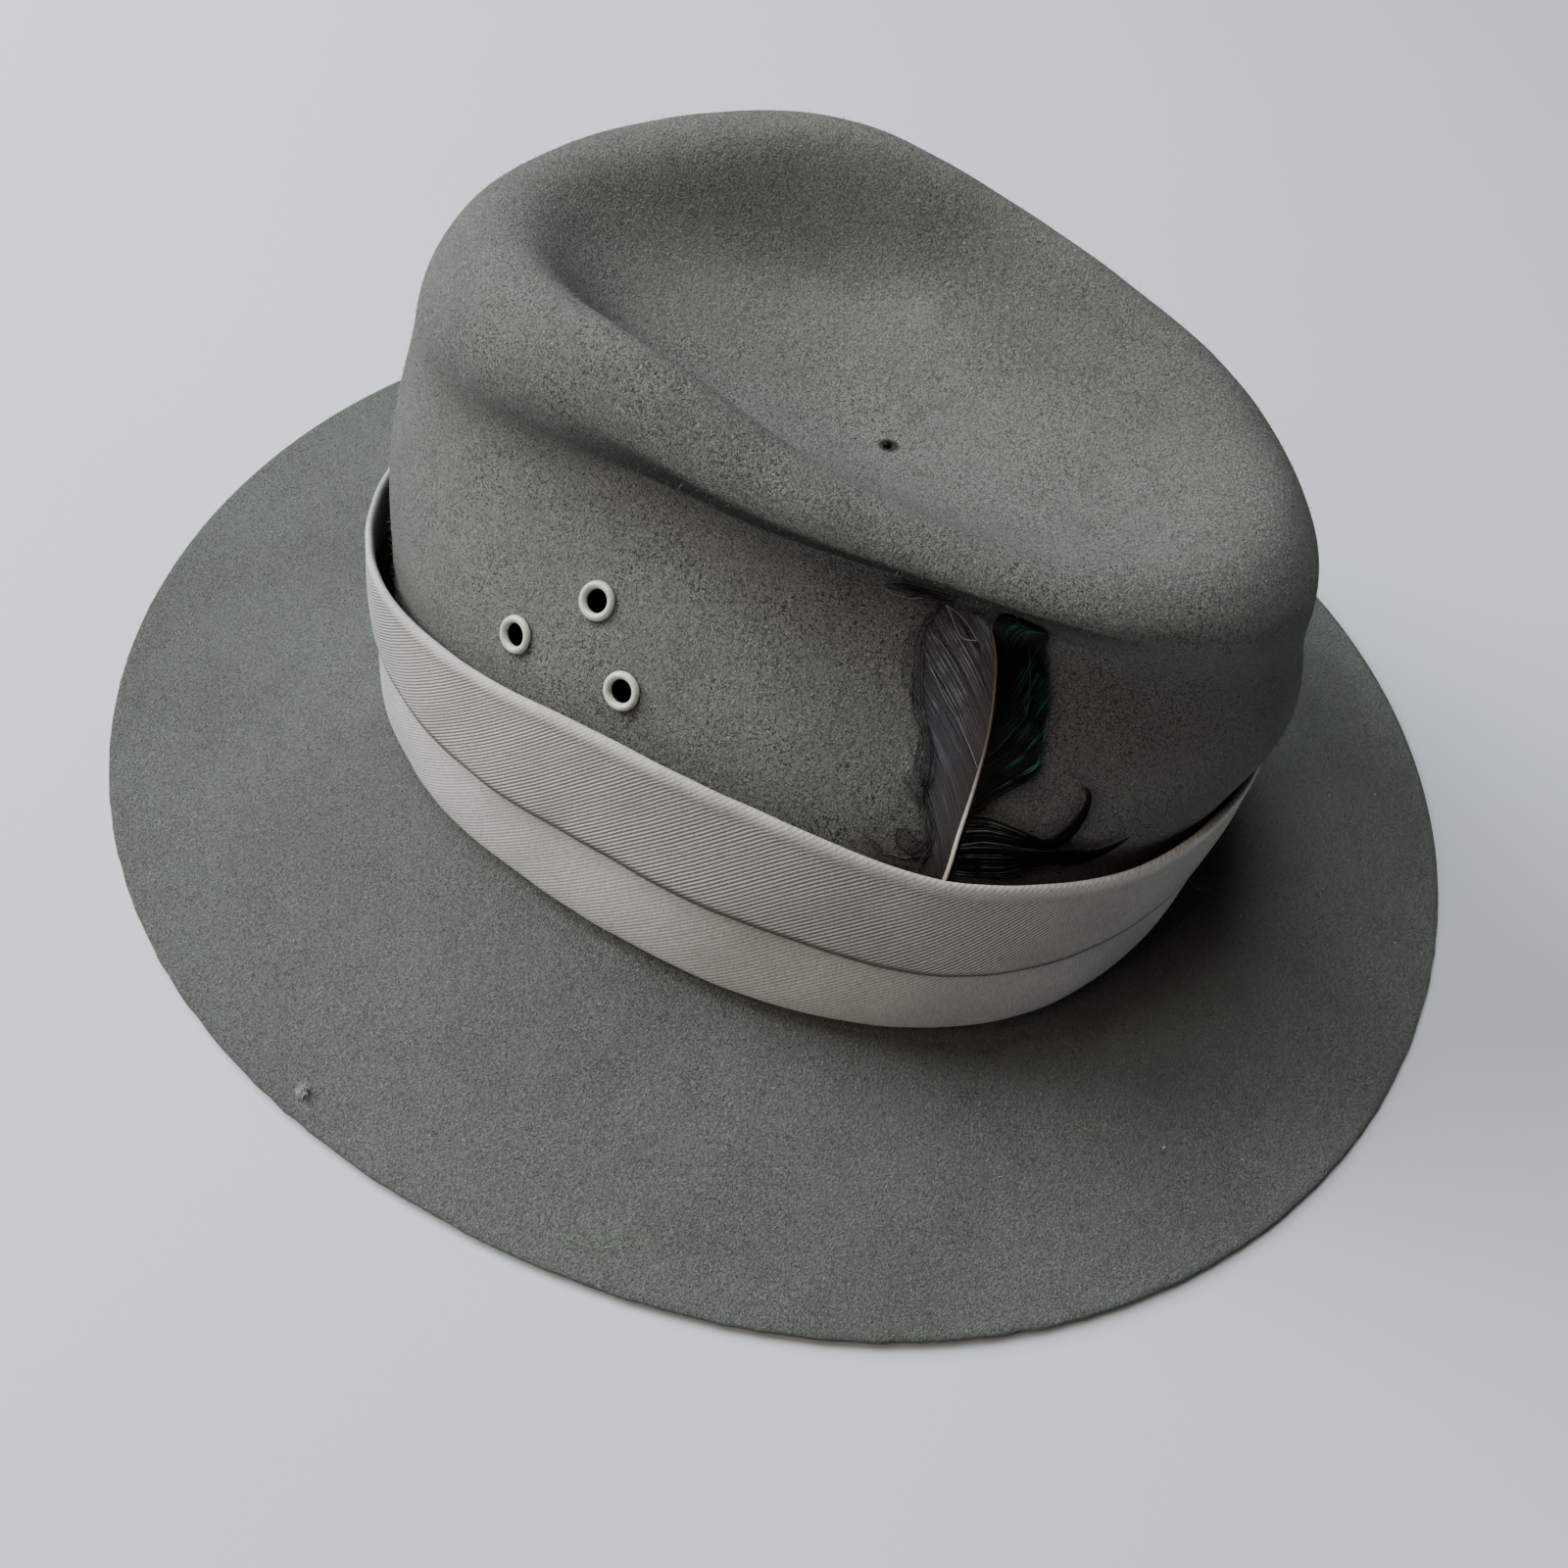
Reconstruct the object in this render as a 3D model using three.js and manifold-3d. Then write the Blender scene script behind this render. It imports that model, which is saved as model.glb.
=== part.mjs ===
// A safari hat: one felt hood with a teardrop hollow and a dent along each side, a folded twill
// band, three vent rings and a feather tucked behind the band.
//
// Millimetres, +Z up. The front of the hat faces -Y and the wearer's left faces +X. The origin is the
// middle of the brim, on the surface that the brim rests on. Azimuths are in degrees round the crown
// axis, from the front towards the wearer's left: 0 is the front, 90 the left side, 180 the back.

import * as THREE from 'three';
import { mergeVertices } from 'three/addons/utils/BufferGeometryUtils.js';
import Module from 'manifold-3d';

const wasm = await Module();
wasm.setup();

// Driving sizes.
const FELT_THICKNESS = 2.0;
const CROWN_AXIS_Y = 4.7;
const HOLLOW_MIDDLE_HEIGHT = 107.5;
const SETTLED_HEIGHT = 0.5; // felt lower than this is pressed flat by the surface it rests on
const ROUND_STEPS = 60;
const GAP = 0.35; // air between pieces that touch

// Control points of the crown's half sections, [reach from the axis, height], from the middle of the
// hollow outwards and down. One row every 22.5 degrees from the front past the back; the rest of the
// wearer's right mirrors the left.
const SECTION_ANGLE = 22.5;
const CROWN_SECTIONS = [
  { at: 0, floor: [28, 111.7], wall: [50, 117], brow: [65, 124.5], crest: [74, 129.5], shoulder: [84, 127],
    roll: [91, 115], under: [94.5, 105], dent: [98, 94], belly: [102, 76] },
  { at: 22.5, floor: [26, 111.4], wall: [43, 113.5], brow: [54, 127], crest: [60, 131.3], shoulder: [71, 131],
    roll: [83, 120], under: [87, 110], dent: [89, 101], belly: [98, 79] },
  { at: 45, floor: [22, 110.9], wall: [34, 111.8], brow: [43.2, 130], crest: [48, 137.5], shoulder: [57, 138],
    roll: [66, 127], under: [66, 115], dent: [58, 108], belly: [80, 87] },
  { at: 67.5, floor: [18, 110.4], wall: [29, 112], brow: [38, 131], crest: [43, 139.6], shoulder: [50, 138],
    roll: [56, 128], under: [52, 118], dent: [43, 113], belly: [62, 94] },
  { at: 90, floor: [17, 110], wall: [28, 114], brow: [35, 126], crest: [41, 136], shoulder: [48, 133],
    roll: [54, 125], under: [49, 116], dent: [40, 112], belly: [60, 94] },
  { at: 112.5, floor: [18, 109.6], wall: [30, 116], brow: [39, 124], crest: [46, 131], shoulder: [52, 129],
    roll: [56, 122], under: [50, 115], dent: [42, 112], belly: [62, 93] },
  { at: 135, floor: [22, 109.1], wall: [36, 115], brow: [47, 121], crest: [55, 127], shoulder: [62, 124],
    roll: [65, 120], under: [57, 115], dent: [49, 112], belly: [72, 89] },
  { at: 157.5, floor: [26, 108.6], wall: [48, 113], brow: [63, 117], crest: [74, 121], shoulder: [83, 119],
    roll: [88, 115], under: [82, 110], dent: [76, 104], belly: [96, 81] },
  { at: 180, floor: [28, 108.3], wall: [58, 111], brow: [76, 114], crest: [89, 117], shoulder: [99, 113],
    roll: [106, 104], under: [110, 93], dent: [113.5, 82], belly: [116, 68] },
  { at: 202.5, floor: [26, 108.6], wall: [48, 113], brow: [63, 117], crest: [74, 121], shoulder: [83, 118],
    roll: [89, 111], under: [89, 104], dent: [85, 98], belly: [99, 78] },
];
const CROWN_COLUMNS = ['floor', 'wall', 'brow', 'crest', 'shoulder', 'roll', 'under', 'dent', 'belly'];

// Ovals that carry the section on from the crown's waist to the brim's edge. Heights are given at the
// front and back ends, what the sides add to them, and the tilt that lifts the back over the front.
// Egg and square are per cent of the reach: three and four soft corners in an otherwise true ellipse.
const LOWER_OVALS = [
  { name: 'waist', halfWidth: 78.0, halfLength: 102.8, shift: 0.9, egg: 0.1, square: -1.7,
    height: 55, sides: 21, tilt: 2.3 },
  { name: 'low', halfWidth: 81.5, halfLength: 103.5, shift: 1.0, egg: 0.8, square: -1.5,
    height: 33, sides: 18, tilt: 2.0 },
  { name: 'foot', halfWidth: 85.2, halfLength: 101.8, shift: -0.2, egg: 1.4, square: -1.3,
    height: 9.5, sides: 15, tilt: 1.5 },
  { name: 'heel', halfWidth: 89.5, halfLength: 106, shift: -0.4, egg: 1.2, square: -1.2,
    height: 7.6, sides: 14.5, tilt: 1.3 },
  { name: 'apron', halfWidth: 108, halfLength: 126, shift: -2.0, egg: 0.8, square: -1.1,
    height: 5.8, sides: 9.2, tilt: 0.6 },
  { name: 'mid', halfWidth: 130, halfLength: 148, shift: -3.8, egg: 0.2, square: -1.0,
    height: 3.2, sides: 4.2, tilt: 0 },
  { name: 'rim', halfWidth: 145, halfLength: 163.5, shift: -4.9, egg: -0.2, square: -0.9,
    height: 2.0, sides: 2.1, tilt: 0 },
  { name: 'edge', halfWidth: 152.2, halfLength: 170.4, shift: -5.2, egg: -0.3, square: -0.8,
    height: 2.0, sides: 1.2, tilt: 0 },
];
const EDGE_STATION = CROWN_COLUMNS.length + LOWER_OVALS.length;
const DENT_STATION = 1 + CROWN_COLUMNS.indexOf('dent');
const LOW_STATION = 2 + CROWN_COLUMNS.length;

// The twill band: the ovals of its outer face at the hem and at the top edge, and its profile between
// them. A profile point's rise is the share of the band's height, its swell the millimetres outwards.
const BAND_HEM = { halfWidth: 90.1, halfLength: 106.1, shift: -0.4, egg: 1.5, square: -1.3,
  height: 11.6, sides: 14.9, tilt: 1.5 };
const BAND_TOP = { halfWidth: 79.4, halfLength: 107.0, shift: 1.3, egg: 0.1, square: -1.7,
  height: 55.6, sides: 21.1, tilt: 2.3 };
const BAND_PROFILE = [
  { rise: 0.00, swell: -0.5 },
  { rise: 0.10, swell: 0.3 },
  { rise: 0.30, swell: 0.5 },
  { rise: 0.46, swell: 0.0 },
  { rise: 0.44, swell: 1.4 },
  { rise: 0.50, swell: 2.0 },
  { rise: 0.66, swell: 1.8 },
  { rise: 0.88, swell: 0.9 },
  { rise: 0.985, swell: 0.2 },
  { rise: 1.00, swell: -0.6 },
  { rise: 0.97, swell: -1.6 },
  { rise: 0.50, swell: -1.5 },
  { rise: 0.02, swell: -1.9 },
];
// Where the band's top stands away from the crown: at the front on the wearer's left, and over the quill.
const BAND_GAPES = [
  { at: 24, spread: 22, reach: 2.2 },
  { at: 133, spread: 9, reach: 0.8 },
];

// Vent rings in the wall of the crown and the small hole worn through the hollow.
const VENTS = [
  { name: 'eyelet_front', at: 64.0, height: 79.8 },
  { name: 'eyelet_top', at: 73.7, height: 92.2 },
  { name: 'eyelet_back', at: 84.8, height: 82.4 },
];
const VENT_BORE_RADIUS = 2.3;
const VENT_BARREL_RADIUS = 2.8;
const VENT_FLANGE_RADIUS = 3.9;
const VENT_GAP = 0.55; // under the flat flange, on a wall that isn't quite flat
const VENT_STEPS = 16;
const PIN_HOLE = { x: 7.9, y: CROWN_AXIS_Y + 15.6, halfLength: 1.4, halfWidth: 0.9 };

// The feather, on the wall of the crown behind the wearer's left temple.
const SHAFT_RADIUS = 0.7;
const SHAFT_ROUTE = [
  { at: 132.6, height: 56 },
  { at: 134.6, height: 65 },
  { at: 139.2, height: 83 },
  { at: 141.7, height: 91 },
  { at: 144.0, height: 99 },
  { at: 144.4, height: 104 },
];
const GREY_VANE = [
  { height: 67.5, from: 132.4, to: 134.2 },
  { height: 73, from: 132.2, to: 135.6 },
  { height: 81, from: 131.8, to: 137.8 },
  { height: 89, from: 132.0, to: 140.2 },
  { height: 96, from: 132.0, to: 142.2 },
  { height: 101, from: 133.0, to: 143.2 },
  { height: 105, from: 135.0, to: 142.8 },
];
const GREEN_VANE = [
  { height: 79, from: 139.4, to: 140.6 },
  { height: 83, from: 140.2, to: 145.2 },
  { height: 88, from: 141.7, to: 147.8 },
  { height: 94, from: 143.4, to: 149.6 },
  { height: 100, from: 145.2, to: 150.8 },
];
const UPPER_TUFT = [
  { near: [137.6, 74.5], far: [137.4, 72.5] },
  { near: [142.0, 72.5], far: [142.0, 69.5] },
  { near: [146.5, 72.8], far: [147.0, 70.2] },
  { near: [150.0, 76.5], far: [150.8, 75.2] },
  { near: [151.8, 80.2], far: [152.2, 79.8] },
];
const LOWER_TUFT = [
  { near: [137.0, 72.0], far: [138.4, 66.4] },
  { near: [141.5, 71.5], far: [142.2, 66.6] },
  { near: [146.0, 70.0], far: [146.4, 66.2] },
  { near: [151.0, 67.4], far: [151.4, 65.4] },
  { near: [156.0, 67.8], far: [156.2, 67.2] },
];
const VANE_THICKNESS = 0.5;

const radians = THREE.MathUtils.degToRad;

// Weights of a uniform cubic B-spline's four control points at t from 0 to 1.
function splineWeights(t) {
  const s = 1 - t;
  const weights = [s ** 3, 3 * t ** 3 - 6 * t ** 2 + 4, -3 * t ** 3 + 3 * t ** 2 + 3 * t + 1, t ** 3];
  return weights.map((weight) => weight / 6);
}

function blend(points, weights) {
  return [0, 1].map((axis) => points.reduce((sum, point, i) => sum + point[axis] * weights[i], 0));
}

// The crown section's control points at any azimuth, blended from the rows on both sides of it.
function crownControls(azimuth) {
  const count = 360 / SECTION_ANGLE;
  const place = (((azimuth % 360) + 360) % 360) / SECTION_ANGLE;
  const first = Math.floor(place);
  const weights = splineWeights(place - first);
  const rows = [-1, 0, 1, 2].map((offset) => {
    const index = (first + offset + count) % count;
    return CROWN_SECTIONS[index] ?? CROWN_SECTIONS[count - index];
  });
  return CROWN_COLUMNS.map((column) => blend(rows.map((row) => row[column]), weights));
}

// Reach and height of an oval row at an azimuth.
function ovalPoint(oval, azimuth) {
  const angle = radians(azimuth);
  const sine = Math.sin(angle);
  const cosine = Math.cos(angle);
  const a = (sine / oval.halfWidth) ** 2 + (cosine / oval.halfLength) ** 2;
  const b = (oval.shift * cosine) / oval.halfLength ** 2;
  const c = (oval.shift / oval.halfLength) ** 2 - 1;
  const corners = (oval.egg * Math.cos(3 * angle) + oval.square * Math.cos(4 * angle)) / 100;
  const reach = ((-b + Math.sqrt(b * b - a * c)) / a) * (1 + corners);
  return [reach, oval.height + oval.sides * sine ** 2 - oval.tilt * cosine];
}

// The whole section's control points: the hollow's middle, the crown rows and the lower ovals, with one
// point more at each end, so that the curve runs smoothly through the middle and stops at the edge.
function sectionControls(azimuth) {
  const across = crownControls(azimuth + 180)[0];
  const lower = LOWER_OVALS.map((oval) => ovalPoint(oval, azimuth));
  const edge = lower[lower.length - 1];
  const rim = lower[lower.length - 2];
  const beyond = [2 * edge[0] - rim[0], 2 * edge[1] - rim[1]];
  return [[-across[0], across[1]], [0, HOLLOW_MIDDLE_HEIGHT], ...crownControls(azimuth), ...lower, beyond];
}

// A point of the felt's outer face. Station 0 is the middle of the hollow, EDGE_STATION the brim's edge.
function feltPoint(azimuth, station) {
  const controls = sectionControls(azimuth);
  const span = Math.min(Math.floor(station), EDGE_STATION - 1);
  const [reach, height] = blend(controls.slice(span, span + 4), splineWeights(station - span));
  return place(azimuth, reach, height);
}

function place(azimuth, reach, height) {
  const angle = radians(azimuth);
  return new THREE.Vector3(reach * Math.sin(angle), CROWN_AXIS_Y - reach * Math.cos(angle), height);
}

function feltNormal(azimuth, station) {
  const low = Math.max(station - 0.02, 0.01);
  const high = Math.min(station + 0.02, EDGE_STATION);
  const outwards = feltPoint(azimuth, high).sub(feltPoint(azimuth, low));
  const around = feltPoint(azimuth + 0.5, station).sub(feltPoint(azimuth - 0.5, station));
  return outwards.cross(around).normalize();
}

// The place on the crown's wall at an azimuth and a height, found by halving, and the normal there.
function wallPlace(azimuth, height) {
  let upper = DENT_STATION - 0.5;
  let lower = LOW_STATION;
  for (let i = 0; i < 30; i += 1) {
    const middle = (upper + lower) / 2;
    if (feltPoint(azimuth, middle).z > height) upper = middle;
    else lower = middle;
  }
  return { point: feltPoint(azimuth, upper), normal: feltNormal(azimuth, upper) };
}

function wallPoint(azimuth, height, standOff) {
  const { point, normal } = wallPlace(azimuth, height);
  return point.addScaledVector(normal, standOff);
}

function geometryOf(points, triangles) {
  const geometry = new THREE.BufferGeometry();
  const flat = points.flatMap((point) => point.toArray());
  geometry.setAttribute('position', new THREE.Float32BufferAttribute(flat, 3));
  geometry.setIndex(triangles);
  geometry.computeVertexNormals();
  return geometry;
}

// Joins equal rings of points, one after another; closed rings wrap round, and a loop of rings closes.
function skin(rings, { loop = false } = {}) {
  const count = rings[0].length;
  const triangles = [];
  const last = loop ? rings.length : rings.length - 1;
  for (let r = 0; r < last; r += 1) {
    for (let i = 0; i < count; i += 1) {
      const a = r * count + i;
      const b = r * count + ((i + 1) % count);
      const c = ((r + 1) % rings.length) * count + i;
      const d = ((r + 1) % rings.length) * count + ((i + 1) % count);
      triangles.push(a, c, b, b, c, d);
    }
  }
  return triangles;
}

// A fan from the last point of the list to one ring; the flipped fan faces the other way.
function fan(ringStart, count, tip, flipped) {
  const triangles = [];
  for (let i = 0; i < count; i += 1) {
    const a = ringStart + i;
    const b = ringStart + ((i + 1) % count);
    triangles.push(...(flipped ? [tip, b, a] : [tip, a, b]));
  }
  return triangles;
}

// The felt hood as one closed wall: the outer face from the hollow's middle to the edge, and the inner
// face back again, one felt thickness inside it and flattened where the brim rests.
function feltHood() {
  const stations = [0.6, 1.3, 2];
  for (let s = 2.5; s <= 9; s += 0.5) stations.push(s);
  stations.push(9.5, 10, 11, 11.5, 12, 12.5, 13, 14, 15, 16, EDGE_STATION);
  const azimuths = Array.from({ length: ROUND_STEPS }, (_, i) => (i * 360) / ROUND_STEPS);
  const outer = stations.map((station) => azimuths.map((azimuth) => feltPoint(azimuth, station)));
  const inner = stations.map((station) => azimuths.map((azimuth) => {
    const inside = feltPoint(azimuth, station).addScaledVector(feltNormal(azimuth, station), -FELT_THICKNESS);
    if (inside.z < SETTLED_HEIGHT) inside.z = 0;
    return inside;
  })).reverse();
  const rings = [...outer, ...inner];
  const top = feltPoint(0, 0);
  const points = [...rings.flat(), top, top.clone().setZ(top.z - FELT_THICKNESS)];
  const topIndex = rings.length * ROUND_STEPS;
  const lastRing = (rings.length - 1) * ROUND_STEPS;
  const triangles = [
    ...skin(rings),
    ...fan(0, ROUND_STEPS, topIndex, false),
    ...fan(lastRing, ROUND_STEPS, topIndex + 1, true),
  ];
  return geometryOf(points, triangles);
}

function toSolid(geometry) {
  const bare = geometry.clone();
  for (const name of Object.keys(bare.attributes)) {
    if (name !== 'position') bare.deleteAttribute(name);
  }
  const merged = mergeVertices(bare, 1e-4);
  const vertProperties = new Float32Array(merged.attributes.position.array);
  const triVerts = new Uint32Array(merged.index.array);
  return new wasm.Manifold(new wasm.Mesh({ numProp: 3, vertProperties, triVerts }));
}

function toGeometry(solid) {
  const mesh = solid.getMesh();
  const geometry = new THREE.BufferGeometry();
  geometry.setAttribute('position', new THREE.BufferAttribute(new Float32Array(mesh.vertProperties), 3));
  geometry.setIndex(new THREE.BufferAttribute(new Uint32Array(mesh.triVerts), 1));
  geometry.computeVertexNormals();
  return geometry;
}

// Turns a shape that stands along +Y so that it stands along a normal at a point.
function standOn(geometry, point, normal) {
  const turn = new THREE.Quaternion().setFromUnitVectors(new THREE.Vector3(0, 1, 0), normal);
  return geometry.applyQuaternion(turn).translate(point.x, point.y, point.z);
}

function feltBody() {
  let solid = toSolid(feltHood());
  for (const vent of VENTS) {
    const { point, normal } = wallPlace(vent.at, vent.height);
    const bore = VENT_BARREL_RADIUS + GAP;
    const drill = new THREE.CylinderGeometry(bore, bore, 14, VENT_STEPS);
    solid = solid.subtract(toSolid(standOn(drill, point, normal)));
  }
  const pin = new THREE.CylinderGeometry(1, 1, 14, 10).rotateX(Math.PI / 2);
  pin.scale(PIN_HOLE.halfLength, PIN_HOLE.halfWidth, 1).translate(PIN_HOLE.x, PIN_HOLE.y, 108);
  return toGeometry(solid.subtract(toSolid(pin)));
}

// The outer line of the band's profile at an azimuth, pushed out where the band gapes.
function bandPoint(azimuth, { rise, swell }) {
  const [hemReach, hemHeight] = ovalPoint(BAND_HEM, azimuth);
  const [topReach, topHeight] = ovalPoint(BAND_TOP, azimuth);
  const gape = rise * BAND_GAPES.reduce((sum, { at, spread, reach: most }) => {
    const away = (((azimuth - at + 540) % 360) - 180) / spread;
    return sum + most * Math.exp(-away * away);
  }, 0);
  const lean = new THREE.Vector2(topReach - hemReach, topHeight - hemHeight).normalize();
  const reach = hemReach + (topReach - hemReach) * rise + swell * lean.y + gape;
  const height = hemHeight + (topHeight - hemHeight) * rise - swell * lean.x;
  return place(azimuth, reach, height);
}

function hatBand() {
  const azimuths = Array.from({ length: ROUND_STEPS }, (_, i) => (i * 360) / ROUND_STEPS);
  const downwards = [...BAND_PROFILE].reverse();
  const rings = downwards.map((row) => azimuths.map((azimuth) => bandPoint(azimuth, row)));
  return geometryOf(rings.flat(), skin(rings, { loop: true }));
}

// A rolled metal ring: a flange outside the felt, a barrel through it and a washer inside it.
function eyelet(vent) {
  const inside = -FELT_THICKNESS - VENT_GAP;
  const rollRadius = (VENT_BORE_RADIUS + VENT_FLANGE_RADIUS) / 2;
  const profile = [
    [VENT_BORE_RADIUS, 0.2],
    [VENT_BORE_RADIUS + 0.25, 0.95],
    [rollRadius, 1.3],
    [VENT_FLANGE_RADIUS - 0.3, 1.15],
    [VENT_FLANGE_RADIUS, 0.8],
    [VENT_FLANGE_RADIUS - 0.1, VENT_GAP],
    [VENT_BARREL_RADIUS, VENT_GAP],
    [VENT_BARREL_RADIUS, inside],
    [VENT_FLANGE_RADIUS - 0.2, inside],
    [VENT_FLANGE_RADIUS - 0.3, inside - 0.5],
    [VENT_BORE_RADIUS + 0.2, inside - 0.6],
    [VENT_BORE_RADIUS, inside],
    [VENT_BORE_RADIUS, 0.2],
  ].reverse().map(([radius, height]) => new THREE.Vector2(radius, height));
  const { point, normal } = wallPlace(vent.at, vent.height);
  return standOn(new THREE.LatheGeometry(profile, VENT_STEPS), point, normal);
}

function featherShaft() {
  const points = SHAFT_ROUTE.map(({ at, height }) => wallPoint(at, height, SHAFT_RADIUS + GAP));
  const outline = new THREE.Shape().absarc(0, 0, SHAFT_RADIUS, 0, 2 * Math.PI);
  return new THREE.ExtrudeGeometry(outline, {
    steps: 14,
    curveSegments: 4,
    bevelEnabled: false,
    extrudePath: new THREE.CatmullRomCurve3(points),
  });
}

// A thin closed strip on the wall of the crown, through pairs of places given as [azimuth, height].
function strip(pairs, standOff) {
  const shares = [0, 0.5, 1];
  const rings = pairs.map(({ near, far }) => {
    const spots = shares.map((share) => near.map((value, i) => value + (far[i] - value) * share));
    const bottom = spots.map(([at, height]) => wallPoint(at, height, standOff));
    const top = spots.map(([at, height]) => wallPoint(at, height, standOff + VANE_THICKNESS));
    return [...bottom, ...top.reverse()];
  });
  const points = rings.flat();
  const size = rings[0].length;
  const start = points.length;
  points.push(middleOf(rings[0]), middleOf(rings[rings.length - 1]));
  const triangles = [
    ...skin(rings),
    ...fan(0, size, start, false),
    ...fan(start - size, size, start + 1, true),
  ];
  return geometryOf(points, triangles);
}

function middleOf(ring) {
  const sum = ring.reduce((total, point) => total.add(point), new THREE.Vector3());
  return sum.divideScalar(ring.length);
}

function vane(rows, standOff) {
  return strip(rows.map(({ height, from, to }) => ({ near: [from, height], far: [to, height] })), standOff);
}

const FELT = { color: 0x69665a, roughness: 0.95, metalness: 0 };
const TWILL = { color: 0xa39b87, roughness: 0.9, metalness: 0 };
const METAL = { color: 0xb9b79f, roughness: 0.35, metalness: 0.6 };
const IVORY = { color: 0xcfc4ad, roughness: 0.5, metalness: 0 };
const GREY_BARBS = { color: 0x55504c, roughness: 0.6, metalness: 0 };
const GREEN_BARBS = { color: 0x16271d, roughness: 0.4, metalness: 0 };

const hat = new THREE.Group();

function add(name, geometry, finish) {
  const mesh = new THREE.Mesh(geometry, new THREE.MeshStandardMaterial(finish));
  mesh.name = name;
  hat.add(mesh);
}

add('felt_body', feltBody(), FELT);
add('hat_band', hatBand(), TWILL);
for (const vent of VENTS) add(vent.name, eyelet(vent), METAL);
add('feather_shaft', featherShaft(), IVORY);
add('feather_grey_vane', vane(GREY_VANE, 0.7), GREY_BARBS);
add('feather_green_vane', vane(GREEN_VANE, 0.7), GREEN_BARBS);
add('feather_upper_tuft', strip(UPPER_TUFT, 0.4), GREEN_BARBS);
add('feather_lower_tuft', strip(LOWER_TUFT, 1.3), GREEN_BARBS);

export default hat;
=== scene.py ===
"""The finished look of a safari hat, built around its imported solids.

One felt hood, a folded twill band, three vent rings and a feather tucked behind the band. Lengths in the
tables are millimetres and meshes are made in metres. The front of the hat faces -Y and the wearer's left
faces +X. Azimuths are degrees round the crown axis, from the front towards the wearer's left.
"""

import logging
import math
from dataclasses import dataclass, field
from enum import Enum

import bmesh
import bpy
import numpy as np
from mathutils import Matrix, Vector


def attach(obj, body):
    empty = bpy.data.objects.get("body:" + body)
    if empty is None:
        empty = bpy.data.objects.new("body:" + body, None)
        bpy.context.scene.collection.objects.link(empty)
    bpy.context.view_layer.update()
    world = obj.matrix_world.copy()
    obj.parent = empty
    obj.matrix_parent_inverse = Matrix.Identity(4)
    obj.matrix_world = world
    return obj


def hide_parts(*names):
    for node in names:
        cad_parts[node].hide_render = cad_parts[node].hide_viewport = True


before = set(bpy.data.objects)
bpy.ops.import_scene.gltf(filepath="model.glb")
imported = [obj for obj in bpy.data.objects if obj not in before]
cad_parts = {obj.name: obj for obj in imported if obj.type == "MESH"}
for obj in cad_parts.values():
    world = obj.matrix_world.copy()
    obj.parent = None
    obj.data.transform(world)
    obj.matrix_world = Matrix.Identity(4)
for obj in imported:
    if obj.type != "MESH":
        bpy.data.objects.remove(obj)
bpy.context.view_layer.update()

LOG = logging.getLogger("safari_hat")
MM = 0.001
Colour = tuple[float, float, float, float]


# ---------------------------------------------------------------------------------------------------------
# Node trees and meshes


class Wiring:
    """Adds and links nodes of one shader or geometry tree."""

    def __init__(self, tree: bpy.types.NodeTree) -> None:
        """Holds the tree that the nodes go into."""
        self.tree = tree

    def add(self, kind: str, inputs: dict | None = None, **settings: object) -> bpy.types.Node:
        """Adds a node.

        Args:
            kind: the node's type name.
            inputs: values or output sockets for its inputs, by input name or number.
            settings: the node's own properties.

        Returns:
            The new node.
        """
        node = self.tree.nodes.new(kind)
        for name, value in settings.items():
            setattr(node, name, value)
        for name, value in (inputs or {}).items():
            if isinstance(value, bpy.types.NodeSocket):
                self.tree.links.new(value, node.inputs[name])
            else:
                node.inputs[name].default_value = value
        return node

    def math(self, operation: str, *values: object) -> bpy.types.NodeSocket:
        """Adds a math node and returns its output."""
        return self.add("ShaderNodeMath", dict(enumerate(values)), operation=operation).outputs[0]

    def product(self, first: object, *others: object) -> bpy.types.NodeSocket:
        """Multiplies two or more values and returns the result."""
        for other in others:
            first = self.math("MULTIPLY", first, other)
        return first

    def ramp(self, value: object, low: float, high: float, to_low: float = 0.0,
             to_high: float = 1.0) -> bpy.types.NodeSocket:
        """Maps a value smoothly from one range to another, clamped, and returns the output."""
        inputs = {"Value": value, "From Min": low, "From Max": high, "To Min": to_low, "To Max": to_high}
        return self.add("ShaderNodeMapRange", inputs, interpolation_type="SMOOTHSTEP").outputs[0]


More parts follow.
